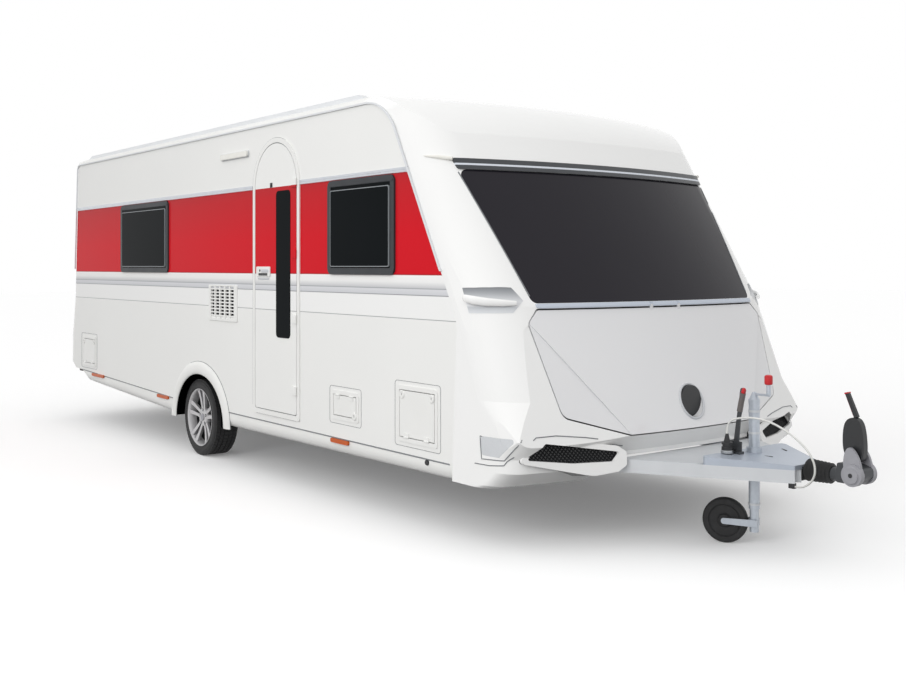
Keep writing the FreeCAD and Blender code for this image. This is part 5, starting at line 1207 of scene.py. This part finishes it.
for name, side in sides:
    cheek = prism([place(x, side * 0.040, z) for x, z in arm], (0, side * 0.016, 0))
    shell = turned(dome, place(5.233, side * 0.054, jawZ), (0, side, 0), 40)
    piece("pad_cover_" + name, [cheek, shell], padGrey, "caravan", sharpAngle=50)
    button = turned([(0.0, 0.0), (0.0, 0.012), (0.002, 0.0115), (0.003, 0.008), (0.003, 0.0)],
                    place(5.233, side * 0.0795, jawZ), (0, side, 0), 20)
    piece("pad_button_" + name, [button], blackNylon, "caravan")
plugBase = turned([(0.0, 0.031), (0.0, 0.034), (0.012, 0.034), (0.016, 0.0305)], place(4.545, -0.181, 0.526),
                  (0, 0, 1), 32, closed=True)
piece("plug_base", [plugBase], zincBolt, "caravan")

print("caravan: rear fittings")
plate = {"halfWidth": 0.260, "z": (0.935, 1.045), "corner": 0.008, "rim": 0.012, "rimCorner": 0.010}
low, high = plate["z"][0] - plate["rim"], plate["z"][1] + plate["rim"]
lowX, highX = (onTail(0.0, z, 0.001).x for z in (low, high))
backHalf = plate["halfWidth"] + plate["rim"]


def platePiece(name, outline, out, thick, finish, bevel=0.0):
    # A flat plate of (y, z) points, which leans as the tail does there
    points = [Vector((lowX + (highX - lowX) * (z - low) / (high - low) - out, y, z)) for y, z in outline]
    piece(name, [prism(points, (-thick, 0, 0))], finish, "caravan", bevel=bevel)


plateBack = roundedRectangle(-backHalf, backHalf, low, high, plate["rimCorner"])
platePiece("number_plate_holder", plateBack, 0.0, 0.004, blackNylon, 0.001)
plateFront = roundedRectangle(-plate["halfWidth"], plate["halfWidth"], *plate["z"], plate["corner"])
platePiece("blank_number_plate", plateFront, 0.004, 0.0015, plateWhite)
triangle = {"y": 0.86, "half": 0.080, "z": (0.885, 1.020), "out": 0.002, "thick": 0.006}
foot, peak = triangle["z"]
for name, side in sides:
    y, half = side * triangle["y"], triangle["half"]
    corners = [onTail(a, z, triangle["out"]) for a, z in ((y - half, foot), (y + half, foot), (y, peak))]
    piece("rear_triangle_" + name, [prism(corners, (-triangle["thick"], 0, 0))], reflexRed, "caravan",
          bevel=0.0015)

print("caravan: roof fittings")
sealant = {"spots": ((-1.750, 0.440, 0.440), (0.300, 0.700, 0.520), (2.000, 0.440, 0.440)), "z": 2.6252,
           "thick": 0.0035, "outer": (0.016, 0.030), "inner": (-0.004, 0.012)}
seams = []
for x, length, width in sealant["spots"]:
    rims = []
    for grow, corner in (sealant["outer"], sealant["inner"]):
        a, b = length / 2 + grow, width / 2 + grow
        rims.append([place(*point, sealant["z"]) for point in roundedRectangle(x - a, x + a, -b, b, corner)])
    seams.append(ringPlate(*rims, (0, 0, sealant["thick"])))
piece("roof_hatch_sealant", seams, greySealAndShadowLine, "caravan")

print("caravan: studio")


def shownRays(tree):
    # 1 for the rays by which a thing is seen: straight, mirrored or through glass
    rays = addNode(tree, "ShaderNodeLightPath").outputs
    return maths(tree, "MAXIMUM", rays["Is Camera Ray"],
                 maths(tree, "MAXIMUM", rays["Is Glossy Ray"], rays["Is Transmission Ray"]))


studio = {"base": 0.84, "fromSide": 0.48, "floorLift": 0.14, "bounce": "#808080", "floor": "#f4f4f4",
          "lampFrom": (4.2, -9.2, 4.0), "lampTo": (1.8, -0.6, 1.0), "lampSize": 4.5, "lampPower": 225.0}
world = bpy.data.worlds.new("studio_world")
scene.world = world
world.use_nodes = True
worldTree = world.node_tree
worldTree.nodes.clear()
facing = addNode(worldTree, "ShaderNodeSeparateXYZ", {},
                 {"Vector": addNode(worldTree, "ShaderNodeTexCoord").outputs["Generated"]}).outputs["Y"]
# The tent round the caravan is brighter on its right side than over and in front of it
tent = addNode(worldTree, "ShaderNodeMapRange", {"From Min": 0.0, "From Max": -1.0, "To Min": studio["base"],
                                                 "To Max": studio["base"] + studio["fromSide"]},
                                                 {"Value": facing})
lit = addNode(worldTree, "ShaderNodeBackground", {"Color": toLinear("#ffffff")},
              {"Strength": tent.outputs["Result"]})
shown = addNode(worldTree, "ShaderNodeBackground", {"Color": toLinear("#ffffff"), "Strength": 1.0})
both = addNode(worldTree, "ShaderNodeMixShader", {},
               {0: shownRays(worldTree), 1: lit.outputs[0], 2: shown.outputs[0]})
addNode(worldTree, "ShaderNodeOutputWorld", {}, {"Surface": both.outputs[0]})

floorMaterial = bpy.data.materials.new("studio_floor")
floorMaterial.use_nodes = True
floorTree = floorMaterial.node_tree
floorTree.nodes.clear()
matt = addNode(floorTree, "ShaderNodeBsdfDiffuse", {"Color": toLinear(studio["floor"])})
dull = addNode(floorTree, "ShaderNodeBsdfDiffuse", {"Color": toLinear(studio["bounce"])})
lift = addNode(floorTree, "ShaderNodeEmission",
               {"Color": toLinear("#ffffff"), "Strength": studio["floorLift"]})
lifted = addNode(floorTree, "ShaderNodeAddShader", {}, {0: matt.outputs[0], 1: lift.outputs[0]})
floorMix = addNode(floorTree, "ShaderNodeMixShader", {},
                   {0: shownRays(floorTree), 1: dull.outputs[0], 2: lifted.outputs[0]})
addNode(floorTree, "ShaderNodeOutputMaterial", {}, {"Surface": floorMix.outputs[0]})
reach = 60.0
floorMesh = meshOf("studio_floor",
                   ([(-reach, -reach, 0), (reach, -reach, 0), (reach, reach, 0), (-reach, reach, 0)],
                                    [[0, 1, 2, 3]]))
floorMesh.materials.append(floorMaterial)
floor = addObject("studio_floor", floorMesh)

lampData = bpy.data.lights.new("soft_lamp", "AREA")
lampData.shape = "SQUARE"
lampData.size = studio["lampSize"]
lampData.energy = studio["lampPower"]
lamp = addObject("soft_lamp", lampData)
lamp.location = studio["lampFrom"]
lamp.rotation_euler = (Vector(studio["lampFrom"]) - Vector(studio["lampTo"])).to_track_quat("Z",
                                                                                            "Y").to_euler()
lamp.visible_camera = False
lamp.visible_glossy = False

camera = {"spot": (7.3662, -5.0252, 1.5465), "heading": 52.556, "lens": 43.573, "shiftY": -0.0811}
lens = bpy.data.cameras.new("camera")
lens.lens = camera["lens"]
lens.sensor_width = 36.0
lens.shift_y = camera["shiftY"]
lens.clip_end = 200.0
eye = addObject("camera", lens)
eye.location = camera["spot"]
eye.rotation_euler = (math.radians(90), 0, math.radians(camera["heading"]))
scene.camera = eye
scene.view_settings.view_transform = "Standard"

print("caravan: done")
